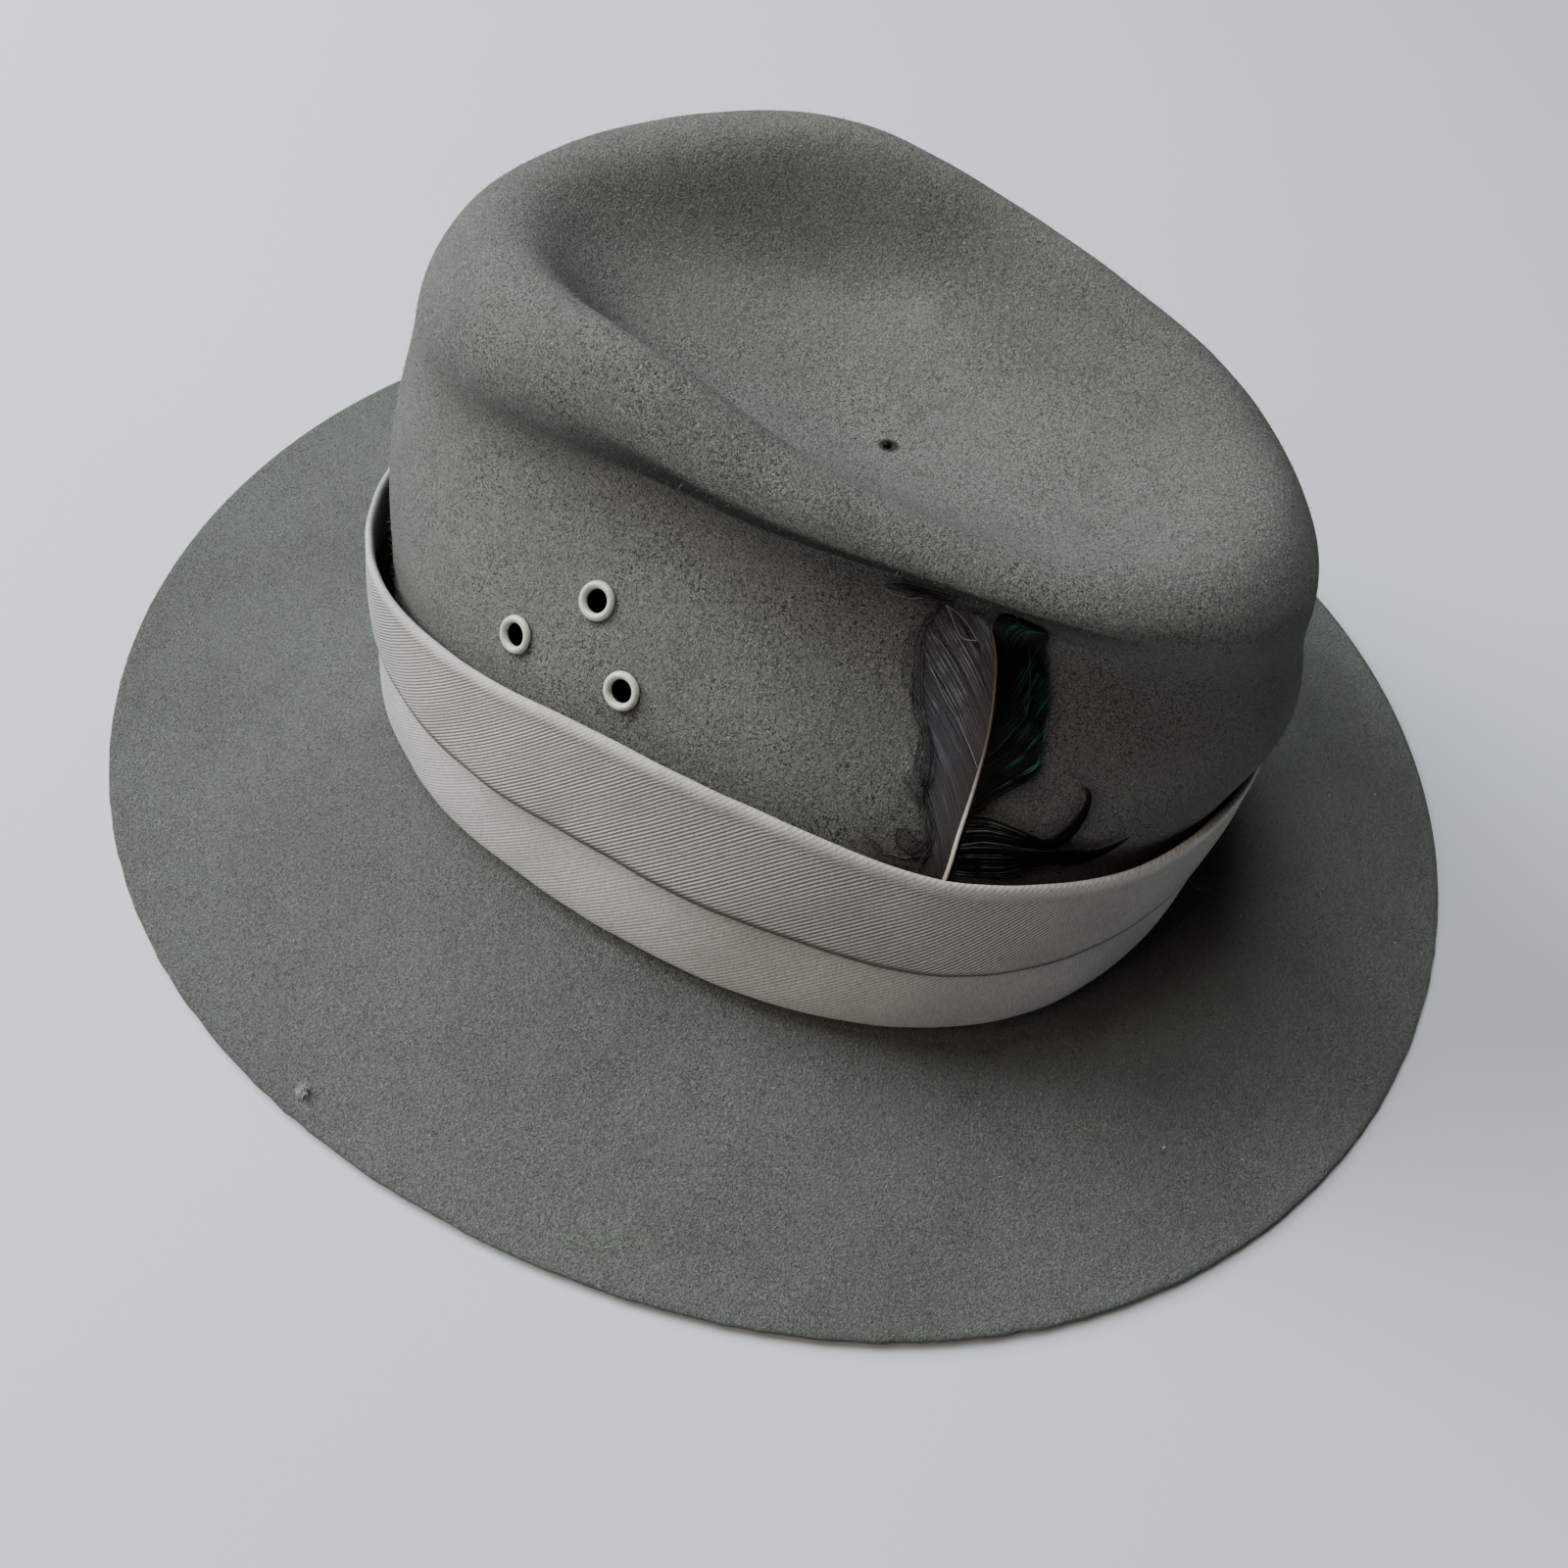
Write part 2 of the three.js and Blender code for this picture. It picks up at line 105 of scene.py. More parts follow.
class GeometryTree(Wiring):
    """A geometry node tree with named inputs, run once on an object to make a plain mesh."""

    def __init__(self, name: str) -> None:
        """Makes an empty tree with a geometry input and output.

        Args:
            name: the tree's name.
        """
        super().__init__(bpy.data.node_groups.new(name, "GeometryNodeTree"))
        self.tree.interface.new_socket("Geometry", in_out="INPUT", socket_type="NodeSocketGeometry")
        self.tree.interface.new_socket("Geometry", in_out="OUTPUT", socket_type="NodeSocketGeometry")
        self.identifiers: dict[str, str] = {}

    def inputs(self, kinds: dict[str, str]) -> bpy.types.Node:
        """Args:
            kinds: each input's name and its socket type.

        Returns:
            The group input node, whose outputs carry those names.
        """
        for name, kind in kinds.items():
            socket = self.tree.interface.new_socket(name, in_out="INPUT", socket_type=kind)
            self.identifiers[name] = socket.identifier
        return self.tree.nodes.new("NodeGroupInput")

    def finish(self, geometry: bpy.types.NodeSocket, material: bpy.types.NodeSocket) -> None:
        """Ends the tree in Realize Instances and Set Material.

        Args:
            geometry: the finished geometry.
            material: the material that it is given.
        """
        real = self.add("GeometryNodeRealizeInstances", {"Geometry": geometry})
        painted = self.add("GeometryNodeSetMaterial", {"Geometry": real.outputs[0], "Material": material})
        self.add("NodeGroupOutput", {"Geometry": painted.outputs[0]})

    def run(self, obj: bpy.types.Object, values: dict[str, object]) -> bpy.types.Object:
        """Runs the tree on an object and turns the result into its plain mesh.

        Args:
            obj: the object that carries the guides or the surface.
            values: each named input's value.

        Returns:
            The same object, with the new mesh and no modifier.
        """
        modifier = obj.modifiers.new("make", "NODES")
        modifier.node_group = self.tree
        for name, value in values.items():
            modifier[self.identifiers[name]] = value
        return plain_mesh(obj)


def plain_mesh(obj: bpy.types.Object) -> bpy.types.Object:
    """Replaces an object's mesh by its evaluated one and removes the modifiers.

    Args:
        obj: the object with live modifiers.

    Returns:
        The same object.
    """
    depsgraph = bpy.context.evaluated_depsgraph_get()
    shown = obj.evaluated_get(depsgraph)
    mesh = bpy.data.meshes.new_from_object(shown, preserve_all_data_layers=True, depsgraph=depsgraph)
    obj.modifiers.clear()
    obj.data = mesh
    return obj


def link(name: str, mesh: bpy.types.Mesh) -> bpy.types.Object:
    """Puts a mesh into the scene as an object at the origin.

    Args:
        name: the name of the object and of its mesh.
        mesh: the mesh.

    Returns:
        The object.
    """
    mesh.name = name
    obj = bpy.data.objects.new(name, mesh)
    bpy.context.scene.collection.objects.link(obj)
    return obj


def mesh_object(name: str, points: np.ndarray, faces: list, outward: bool = False) -> bpy.types.Object:
    """Makes a smooth-shaded mesh object.

    Args:
        name: the piece's name.
        points: vertices in millimetres.
        faces: vertex numbers of each face.
        outward: whether to turn all faces outwards.

    Returns:
        The object, at the origin.
    """
    mesh = bpy.data.meshes.new(name)
    mesh.from_pydata((points * MM).tolist(), [], faces)
    if outward:
        work = bmesh.new()
        work.from_mesh(mesh)
        bmesh.ops.recalc_face_normals(work, faces=work.faces)
        work.to_mesh(mesh)
        work.free()
    mesh.shade_smooth()
    return link(name, mesh)


def set_values(mesh: bpy.types.Mesh, name: str, values: np.ndarray) -> None:
    """Stores one number for each of a mesh's points under a name."""
    layer = mesh.attributes.new(name, "FLOAT", "POINT")
    layer.data.foreach_set("value", values.ravel())


def azimuths_round(count: int) -> np.ndarray:
    """Returns a number of even azimuths round the hat, in degrees."""
    return np.arange(count) * 360.0 / count


def direction(azimuth: float, elevation: float) -> Vector:
    """Returns the unit vector towards an azimuth and an elevation in degrees."""
    a, e = math.radians(azimuth), math.radians(elevation)
    return Vector((math.sin(a) * math.cos(e), -math.cos(a) * math.cos(e), math.sin(e)))


def ring_faces(rows: int, count: int, closed: bool = False) -> np.ndarray:
    """Quads between rows of points that each go once round.

    Args:
        rows: how many rows.
        count: points in a row.
        closed: whether the last row joins the first.

    Returns:
        An array of four vertex numbers per quad.
    """
    row = np.arange(rows if closed else rows - 1)[:, None]
    column = np.arange(count)[None, :]
    following = (row + 1) % rows
    beside = (column + 1) % count
    corners = (row * count + column, following * count + column, following * count + beside,
               row * count + beside)
    return np.stack([np.broadcast_to(c, (len(row), count)) for c in corners], -1).reshape(-1, 4)


def along(points: np.ndarray, samples: int) -> np.ndarray:
    """Catmull-Rom curves through rows of points.

    Args:
        points: an array (..., knots, dimensions).
        samples: points wanted on each curve.

    Returns:
        An array (..., samples, dimensions).
    """
    first = 2 * points[..., :1, :] - points[..., 1:2, :]
    last = 2 * points[..., -1:, :] - points[..., -2:-1, :]
    knots = np.concatenate([first, points, last], -2)
    spans = points.shape[-2] - 1
    place = np.linspace(0, spans, samples)
    index = np.minimum(place.astype(int), spans - 1)
    t = (place - index)[:, None]
    a, b, c, d = (knots[..., index + k, :] for k in range(4))
    return 0.5 * (2 * b + (c - a) * t + (2 * a - 5 * b + 4 * c - d) * t**2 + (3 * b - a - 3 * c + d) * t**3)


class Ripple:
    """A smooth, repeatable field of small unevenness: plane waves in seeded directions."""

    # The wave lengths as shares of the one that is asked for.
    shortest: float = 0.7
    longest: float = 1.6

    def __init__(self, seed: int, wavelength: float, waves: int = 12) -> None:
        """Draws the waves.

        Args:
            seed: makes the same waves every time.
            wavelength: about how long the waves are, in millimetres.
            waves: how many waves are added up.
        """
        random = np.random.default_rng(seed)
        turns = random.normal(size=(waves, 3))
        turns /= np.linalg.norm(turns, axis=1)[:, None]
        lengths = wavelength * random.uniform(self.shortest, self.longest, waves)
        self.vectors = turns * (2 * np.pi / lengths)[:, None]
        self.phases = random.uniform(0, 2 * np.pi, waves)

    def at(self, points: np.ndarray) -> np.ndarray:
        """Returns the field at points, mostly within -1.5 to 1.5."""
        return np.sin(points @ self.vectors.T + self.phases).sum(-1) / math.sqrt(len(self.phases))


# ---------------------------------------------------------------------------------------------------------
# The felt's shape


def spline_weights(t: np.ndarray) -> np.ndarray:
    """The weights of a uniform cubic B-spline's four control points.

    Args:
        t: places within a span, from 0 to 1.

    Returns:
        An array of the places' shape with a last axis of four weights.
    """
    s = 1 - t
    weights = [s**3, 3 * t**3 - 6 * t**2 + 4, -3 * t**3 + 3 * t**2 + 3 * t + 1, t**3]
    return np.stack(weights, -1) / 6


@dataclass(frozen=True)
class CrownRow:
    """Control points of the crown's half section at one azimuth, as (reach, height) pairs."""

    at: float
    floor: tuple[float, float]
    wall: tuple[float, float]
    brow: tuple[float, float]
    crest: tuple[float, float]
    shoulder: tuple[float, float]
    roll: tuple[float, float]
    under: tuple[float, float]
    dent: tuple[float, float]
    belly: tuple[float, float]

    def points(self) -> list[tuple[float, float]]:
        """Returns the nine points from the hollow's floor outwards and down."""
        return [self.floor, self.wall, self.brow, self.crest, self.shoulder, self.roll, self.under, self.dent,
                self.belly]


@dataclass(frozen=True)
class Oval:
    """A soft-cornered oval round the crown axis, whose height changes round it.

    The shift is towards the back. Egg and square are per cents of the reach that make one end blunter and
    the corners fuller. Sides lift the oval at left and right, and tilt lifts its back over its front.
    """

    half_width: float
    half_length: float
    shift: float
    egg: float
    square: float
    height: float
    sides: float
    tilt: float

    def point(self, azimuth: np.ndarray) -> np.ndarray:
        """Reach and height at azimuths.

        Args:
            azimuth: degrees.

        Returns:
            An array of the azimuths' shape with a last axis of reach and height.
        """
        angle = np.radians(azimuth)
        sine, cosine = np.sin(angle), np.cos(angle)
        a = (sine / self.half_width) ** 2 + (cosine / self.half_length) ** 2
        b = self.shift * cosine / self.half_length**2
        c = (self.shift / self.half_length) ** 2 - 1
        corners = (self.egg * np.cos(3 * angle) + self.square * np.cos(4 * angle)) / 100
        reach = (-b + np.sqrt(b * b - a * c)) / a * (1 + corners)
        return np.stack([reach, self.height + self.sides * sine**2 - self.tilt * cosine], -1)


# Each row: the azimuth; floor, wall, brow and crest of the hollow; shoulder, roll and under of the ridge;
# dent and belly of the wall.
CROWN_ROWS = (
    CrownRow(0, (28, 111.7), (50, 117), (65, 124.5), (74, 129.5),
             (84, 127), (91, 115), (94.5, 105), (98, 94), (102, 76)),
    CrownRow(22.5, (26, 111.4), (43, 113.5), (54, 127), (60, 131.3),
             (71, 131), (83, 120), (87, 110), (89, 101), (98, 79)),
    CrownRow(45, (22, 110.9), (34, 111.8), (43.2, 130), (48, 137.5),
             (57, 138), (66, 127), (66, 115), (58, 108), (80, 87)),
    CrownRow(67.5, (18, 110.4), (29, 112), (38, 131), (43, 139.6),
             (50, 138), (56, 128), (52, 118), (43, 113), (62, 94)),
    CrownRow(90, (17, 110), (28, 114), (35, 126), (41, 136),
             (48, 133), (54, 125), (49, 116), (40, 112), (60, 94)),
    CrownRow(112.5, (18, 109.6), (30, 116), (39, 124), (46, 131),
             (52, 129), (56, 122), (50, 115), (42, 112), (62, 93)),
    CrownRow(135, (22, 109.1), (36, 115), (47, 121), (55, 127),
             (62, 124), (65, 120), (57, 115), (49, 112), (72, 89)),
    CrownRow(157.5, (26, 108.6), (48, 113), (63, 117), (74, 121),
             (83, 119), (88, 115), (82, 110), (76, 104), (96, 81)),
    CrownRow(180, (28, 108.3), (58, 111), (76, 114), (89, 117),
             (99, 113), (106, 104), (110, 93), (113.5, 82), (116, 68)),
    CrownRow(202.5, (26, 108.6), (48, 113), (63, 117), (74, 121),
             (83, 118), (89, 111), (89, 104), (85, 98), (99, 78)),
)
# Each oval: half width, half length, shift, egg, square, height, sides, tilt.
LOWER_OVALS = {
    "waist": Oval(78.0, 102.8, 0.9, 0.1, -1.7, 55, 21, 2.3),
    "low": Oval(81.5, 103.5, 1.0, 0.8, -1.5, 33, 18, 2.0),
    "foot": Oval(85.2, 101.8, -0.2, 1.4, -1.3, 9.5, 15, 1.5),
    "heel": Oval(89.5, 106, -0.4, 1.2, -1.2, 7.6, 14.5, 1.3),
    "apron": Oval(108, 126, -2.0, 0.8, -1.1, 5.8, 9.2, 0.6),
    "mid": Oval(130, 148, -3.8, 0.2, -1.0, 3.2, 4.2, 0),
    "rim": Oval(145, 163.5, -4.9, -0.2, -0.9, 2.0, 2.1, 0),
    "edge": Oval(152.2, 170.4, -5.2, -0.3, -0.8, 2.0, 1.2, 0),
}


@dataclass
class FeltShape:
    """The felt's outer face: one spline section at each azimuth, from the hollow's middle to the edge.

    Stations are places along a section. A whole station lies by the control point of its number.
    """

    axis_y: float = 4.7
    middle_height: float = 107.5
    section_angle: float = 22.5
    edge_station: float = 17
    first_wall_station: float = 6.7
    last_wall_station: float = 11
    # Steps over which slopes are taken, in stations and in degrees.
    station_step: float = 0.02
    azimuth_step: float = 0.5
    halvings: int = 24
    crown: np.ndarray = field(init=False)

    def __post_init__(self) -> None:
        """Mirrors the crown's rows on to the wearer's right, up to the row just past the back."""
        rows = np.array([row.points() for row in CROWN_ROWS], float)
        self.crown = np.concatenate([rows, rows[-4:0:-1]])

    def crown_controls(self, azimuth: np.ndarray) -> np.ndarray:
        """The crown's control points, blended from the rows on both sides.

        Args:
            azimuth: degrees.

        Returns:
            An array of the azimuths' shape with two last axes: nine points, and reach and height.
        """
        place = (azimuth % 360) / self.section_angle
        first = np.floor(place).astype(int)
        weights = spline_weights(place - first)
        rows = [self.crown[(first + k - 1) % len(self.crown)] * weights[..., k, None, None] for k in range(4)]
        return sum(rows)

    def controls(self, azimuth: np.ndarray) -> np.ndarray:
        """The whole section's control points, with one more point at each end.

        Args:
            azimuth: degrees.

        Returns:
            An array of the azimuths' shape with two last axes: the points, and reach and height.
        """
        across = self.crown_controls(azimuth + 180)[..., 0, :] * (-1, 1)
        middle = np.broadcast_to([0.0, self.middle_height], across.shape)
        lower = [oval.point(azimuth) for oval in LOWER_OVALS.values()]
        beyond = 2 * lower[-1] - lower[-2]
        crown = np.moveaxis(self.crown_controls(azimuth), -2, 0)
        return np.stack([across, middle, *crown, *lower, beyond], -2)

    def place(self, azimuth: np.ndarray, reach: np.ndarray, height: np.ndarray) -> np.ndarray:
        """Turns places in sections into points in space.

        Args:
            azimuth: degrees.
            reach: millimetres from the crown axis.
            height: millimetres.

        Returns:
            The points in millimetres.
        """
        angle = np.radians(azimuth)
        spots = (reach * np.sin(angle), self.axis_y - reach * np.cos(angle), height)
        return np.stack(np.broadcast_arrays(*spots), -1)

    def points(self, azimuth: np.ndarray, station: np.ndarray) -> np.ndarray:
        """Points of the outer face.

        Args:
            azimuth: degrees, an array that broadcasts with the stations.
            station: place along the section, from 0 in the middle to 17 at the edge.

        Returns:
            The points in millimetres.
        """
        span = np.minimum(np.floor(station).astype(int), int(self.edge_station) - 1)
        weights = spline_weights(station - span)
        controls = self.controls(azimuth)
        shape = np.broadcast_shapes(np.shape(azimuth), np.shape(station))
        controls = np.broadcast_to(controls, shape + controls.shape[-2:])
        span = np.broadcast_to(span, shape)
        profile = 0.0
        for k in range(4):
            taken = np.take_along_axis(controls, (span + k)[..., None, None], axis=-2)[..., 0, :]
            profile = profile + taken * weights[..., k, None]
        return self.place(azimuth, profile[..., 0], profile[..., 1])

    def normals(self, azimuth: np.ndarray, station: np.ndarray) -> np.ndarray:
        """Outward unit normals of the outer face.

        Args:
            azimuth: degrees, an array that broadcasts with the stations.
            station: places along the section.

        Returns:
            The normals.
        """
        low = np.maximum(station - self.station_step, self.station_step / 2)
        high = np.minimum(station + self.station_step, self.edge_station)
        outwards = self.points(azimuth, high) - self.points(azimuth, low)
        step = self.azimuth_step
        around = self.points(azimuth + step, station) - self.points(azimuth - step, station)
        normals = np.cross(outwards, around)
        return normals / np.linalg.norm(normals, axis=-1, keepdims=True)

    def wall(self, azimuth: np.ndarray, height: np.ndarray) -> tuple[np.ndarray, np.ndarray]:
        """Places on the crown's wall, found by halving.

        Args:
            azimuth: degrees.
            height: millimetres, of the same shape.

        Returns:
            The points and the outward normals there.
        """
        azimuth, height = np.asarray(azimuth, float), np.asarray(height, float)
        upper = np.full(azimuth.shape, self.first_wall_station)
        lower = np.full(azimuth.shape, self.last_wall_station)
        for _ in range(self.halvings):
            middle = (upper + lower) / 2
            higher = self.points(azimuth, middle)[..., 2] > height
            upper = np.where(higher, middle, upper)
            lower = np.where(higher, lower, middle)
        return self.points(azimuth, upper), self.normals(azimuth, upper)

    def even_stations(self, step: float) -> np.ndarray:
        """Stations that lie evenly along the section, from the middle to the edge.

        Args:
            step: about how far they are apart, in millimetres.

        Returns:
            The stations.
        """
        fine = np.linspace(0, self.edge_station, 1200)
        points = self.points(azimuths_round(12)[:, None], fine[None, :])
        lengths = np.linalg.norm(np.diff(points, axis=1), axis=-1).mean(0)
        walked = np.concatenate([[0], np.cumsum(lengths)])
        return np.interp(np.linspace(0, walked[-1], int(walked[-1] / step) + 1), walked, fine)


# ---------------------------------------------------------------------------------------------------------
# Finishes


class Surface(Wiring):
    """A material under construction round one Principled shader."""

    def __init__(self, name: str, **values: object) -> None:
        """Makes the material with its shader.

        Args:
            name: the material's name.
            values: the shader's plain inputs, such as Roughness, with _ in place of a space.
        """
        self.material = bpy.data.materials.new(name)
        self.material.use_nodes = True
        super().__init__(self.material.node_tree)
        self.shader = next(n for n in self.tree.nodes if n.type == "BSDF_PRINCIPLED")
        for socket, value in values.items():
            self.shader.inputs[socket.replace("_", " ")].default_value = value
        self.object_place = self.add("ShaderNodeTexCoord").outputs["Object"]

    def set(self, socket: str, value: bpy.types.NodeSocket) -> None:
        """Links an output to one of the shader's inputs."""
        self.tree.links.new(value, self.shader.inputs[socket])

    def noise(self, size: float, detail: float = 2.0, where: bpy.types.NodeSocket | None = None,
              roughness: float = 0.5, stretch: tuple[float, float, float] | None = None,
              curl: float = 0.0) -> bpy.types.NodeSocket:
        """Adds noise.

        Args:
            size: about the size of its features, in millimetres.
            detail: how many finer layers it has.
            where: the place at which it is read, if not the object's own coordinates.
            roughness: how strong its finer layers are.
            stretch: how much denser it is along each axis.
            curl: how far it is distorted.

        Returns:
            Its value, about 0.5 on average.
        """
        vector = where or self.object_place
        if stretch:
            vector = self.add("ShaderNodeMapping", {"Vector": vector, "Scale": stretch}).outputs[0]
        inputs = {"Vector": vector, "Scale": 1 / (size * MM), "Detail": detail, "Roughness": roughness,
                  "Distortion": curl}
        return self.add("ShaderNodeTexNoise", inputs).outputs[0]

    def cells(self, size: float) -> bpy.types.NodeSocket:
        """Adds scattered cells of a size in millimetres and returns the distance from their middles."""
        inputs = {"Vector": self.object_place, "Scale": 1 / (size * MM)}
        return self.add("ShaderNodeTexVoronoi", inputs).outputs["Distance"]

    def mix(self, share: object, first: object, second: object) -> bpy.types.NodeSocket:
        """Lays one colour over another.

        Args:
            share: how much of the second colour covers the first.
            first: the colour underneath.
            second: the colour on top.

        Returns:
            The mixed colour.
        """
        node = self.add("ShaderNodeMix", data_type="RGBA", blend_type="MIX")
        for index, value in ((0, share), (6, first), (7, second)):
            if isinstance(value, bpy.types.NodeSocket):
                self.tree.links.new(value, node.inputs[index])
            else:
                node.inputs[index].default_value = value
        return node.outputs[2]

    def bump(self, height: bpy.types.NodeSocket, depth: float, strength: float = 1.0,
             under: bpy.types.NodeSocket | None = None) -> bpy.types.NodeSocket:
        """Adds bump.

        Args:
            height: the relief, about from 0 to 1.
            depth: how deep the relief is, in millimetres.
            strength: how strongly it shows.
            under: the normal that it lies on, if not the mesh's own.

        Returns:
            The new normal.
        """
        inputs = {"Height": height, "Distance": depth * MM, "Strength": strength}
        if under:
            inputs["Normal"] = under
        return self.add("ShaderNodeBump", inputs).outputs[0]

    def attribute(self, name: str) -> bpy.types.NodeSocket:
        """Returns a mesh attribute's value."""
        return self.add("ShaderNodeAttribute", attribute_name=name).outputs["Fac"]

    def near(self, spot: tuple[float, float, float], inner: float, outer: float,
             wobble: bpy.types.NodeSocket | None = None) -> bpy.types.NodeSocket:
        """Marks the surroundings of a spot.

        Args:
            spot: the spot in millimetres.
            inner: the distance in millimetres within which the mark is full.
            outer: the distance past which there is none.
            wobble: noise that makes its outline uneven.

        Returns:
            1 near the spot and 0 far from it.
        """
        away = self.add("ShaderNodeVectorMath", {0: self.object_place, 1: [v * MM for v in spot]},
                        operation="DISTANCE").outputs["Value"]
        if wobble:
            away = self.math("MULTIPLY_ADD", self.math("SUBTRACT", wobble, 0.5), outer * MM, away)
        return self.ramp(away, inner * MM, outer * MM, 1.0, 0.0)


@dataclass(frozen=True)
class FeltFinish:
    """Fur felt with a short suede nap: browner on the crown, greener on the brim."""

    crown: Colour = (0.198, 0.193, 0.168, 1)
    brim: Colour = (0.160, 0.168, 0.146, 1)
    shade: Colour = (0.034, 0.031, 0.025, 1)
    fleck: Colour = (0.42, 0.41, 0.355, 1)
    # Near-black painted shade for the crease under the left ridge.
    grime_and_painted_shade: Colour = (0.010, 0.009, 0.008, 1)
    smudge: Colour = (0.27, 0.26, 0.225, 1)
    # Places and reaches in millimetres: the rubbed ridge, the smudge in the hollow and the pin hole's rim.
    rubbed_at: tuple[float, float, float] = (70, 22, 108)
    rubbed_reach: tuple[float, float] = (50, 125)
    smudge_at: tuple[float, float, float] = (-25.9, 11.1, 114.1)
    smudge_reach: tuple[float, float] = (1.0, 5.5)
    pin_at: tuple[float, float, float] = (7.9, 20.3, 108.8)
    pin_reach: tuple[float, float] = (1.6, 2.6)
    # Sizes of the felt's features in millimetres.
    cloud_size: float = 60
    gather_size: float = 14
    patch_size: float = 9
    speck_spacing: float = 7.0
    lump_size: float = 4.5
    grain_size: float = 0.62
    nap_size: float = 0.34
    # How much of each darker or paler tint lies over the felt.
    cloud_share: float = 0.22
    patch_share: float = 0.16
    pit_share: float = 0.95
    tip_share: float = 0.62
    speck_share: float = 0.5
    smudge_share: float = 0.25
    crease_share: float = 0.85
    # Heights in metres between which the brim's tint turns into the crown's.
    brim_to_crown: tuple[float, float] = (0.026, 0.05)
    # The painted shade in the crease under the left ridge: its slope, and its heights, widths and lengths in
    # metres.
    crease_slope: tuple[float, float] = (0.08, -0.3)
    crease_z: tuple[float, float] = (0.094, 0.106)
    crease_x: tuple[float, float] = (0.028, 0.045)
    crease_y: tuple[float, float] = (-0.036, 0.0)

    def crease(self, felt: Surface, spot: bpy.types.NodeOutputs) -> bpy.types.NodeSocket:
        """Marks the painted shade in the crease under the left ridge, where the felt faces down.

        Args:
            felt: the material under construction.
            spot: the outputs with the place in metres.

        Returns:
            How deep in the crease a place lies, from 0 to 1, which is how much painted shade it gets.
        """
        facing = felt.add("ShaderNodeNewGeometry").outputs["Normal"]
        facing_up = felt.add("ShaderNodeSeparateXYZ", {0: facing}).outputs["Z"]
        return felt.product(felt.ramp(facing_up, *self.crease_slope), felt.ramp(spot["Z"], *self.crease_z),
                            felt.ramp(spot["X"], *self.crease_x), felt.ramp(spot["Y"], *self.crease_y))

    def material(self) -> bpy.types.Material:
        """Makes the felt's material.

        Returns:
            The material.
        """
        felt = Surface("fur_felt", Roughness=0.93, Sheen_Weight=0.07, Sheen_Roughness=0.5,
                       Sheen_Tint=(0.8, 0.8, 0.74, 1), Specular_IOR_Level=0.12)
        spot = felt.add("ShaderNodeSeparateXYZ", {0: felt.object_place}).outputs
        cloud = felt.noise(self.cloud_size, 3.0)
        patch = felt.noise(self.patch_size, 3.0, roughness=0.6)
        base = felt.mix(felt.ramp(spot["Z"], *self.brim_to_crown), self.brim, self.crown)
        base = felt.mix(felt.ramp(cloud, 0.35, 0.7, 0.0, self.cloud_share), base, self.shade)
        base = felt.mix(felt.ramp(patch, 0.45, 0.8, 0.0, self.patch_share), base, self.shade)
        grain = felt.noise(self.grain_size, 2.0, roughness=0.6, curl=1.0)
        nap = felt.noise(self.nap_size, 2.0, roughness=0.6, curl=0.8)
        rubbed = felt.ramp(felt.near(self.rubbed_at, *self.rubbed_reach), 0.0, 1.0, 0.5, 1.0)
        gathered = felt.product(felt.ramp(felt.noise(self.gather_size, 2.0), 0.35, 0.65, 0.55, 1.0), rubbed)
        pits = felt.product(felt.ramp(grain, 0.48, 0.36), gathered, self.pit_share)
        tips = felt.product(felt.ramp(nap, 0.54, 0.66), gathered, self.tip_share)
        specks = felt.product(felt.ramp(felt.cells(self.speck_spacing), 0.055, 0.03), self.speck_share)
        smudged = felt.product(felt.near(self.smudge_at, *self.smudge_reach, patch), self.smudge_share)
        # Painted shade: felt that faces down in the crease under the left ridge is darkened towards
        # near-black.
        painted_crease_shade = felt.product(self.crease(felt, spot), self.crease_share)
        base = felt.mix(pits, base, self.shade)
        base = felt.mix(tips, base, self.fleck)
        base = felt.mix(specks, base, self.fleck)
        base = felt.mix(smudged, base, self.smudge)
        base = felt.mix(felt.near(self.pin_at, *self.pin_reach), base, self.shade)
        felt.set("Base Color", felt.mix(painted_crease_shade, base, self.grime_and_painted_shade))
        rough = felt.bump(felt.noise(self.lump_size, 3.0), depth=0.35, strength=0.5)
        rough = felt.bump(grain, depth=0.9, strength=1.3, under=rough)
        felt.set("Normal", felt.bump(nap, depth=0.5, strength=0.9, under=rough))
        return felt.material


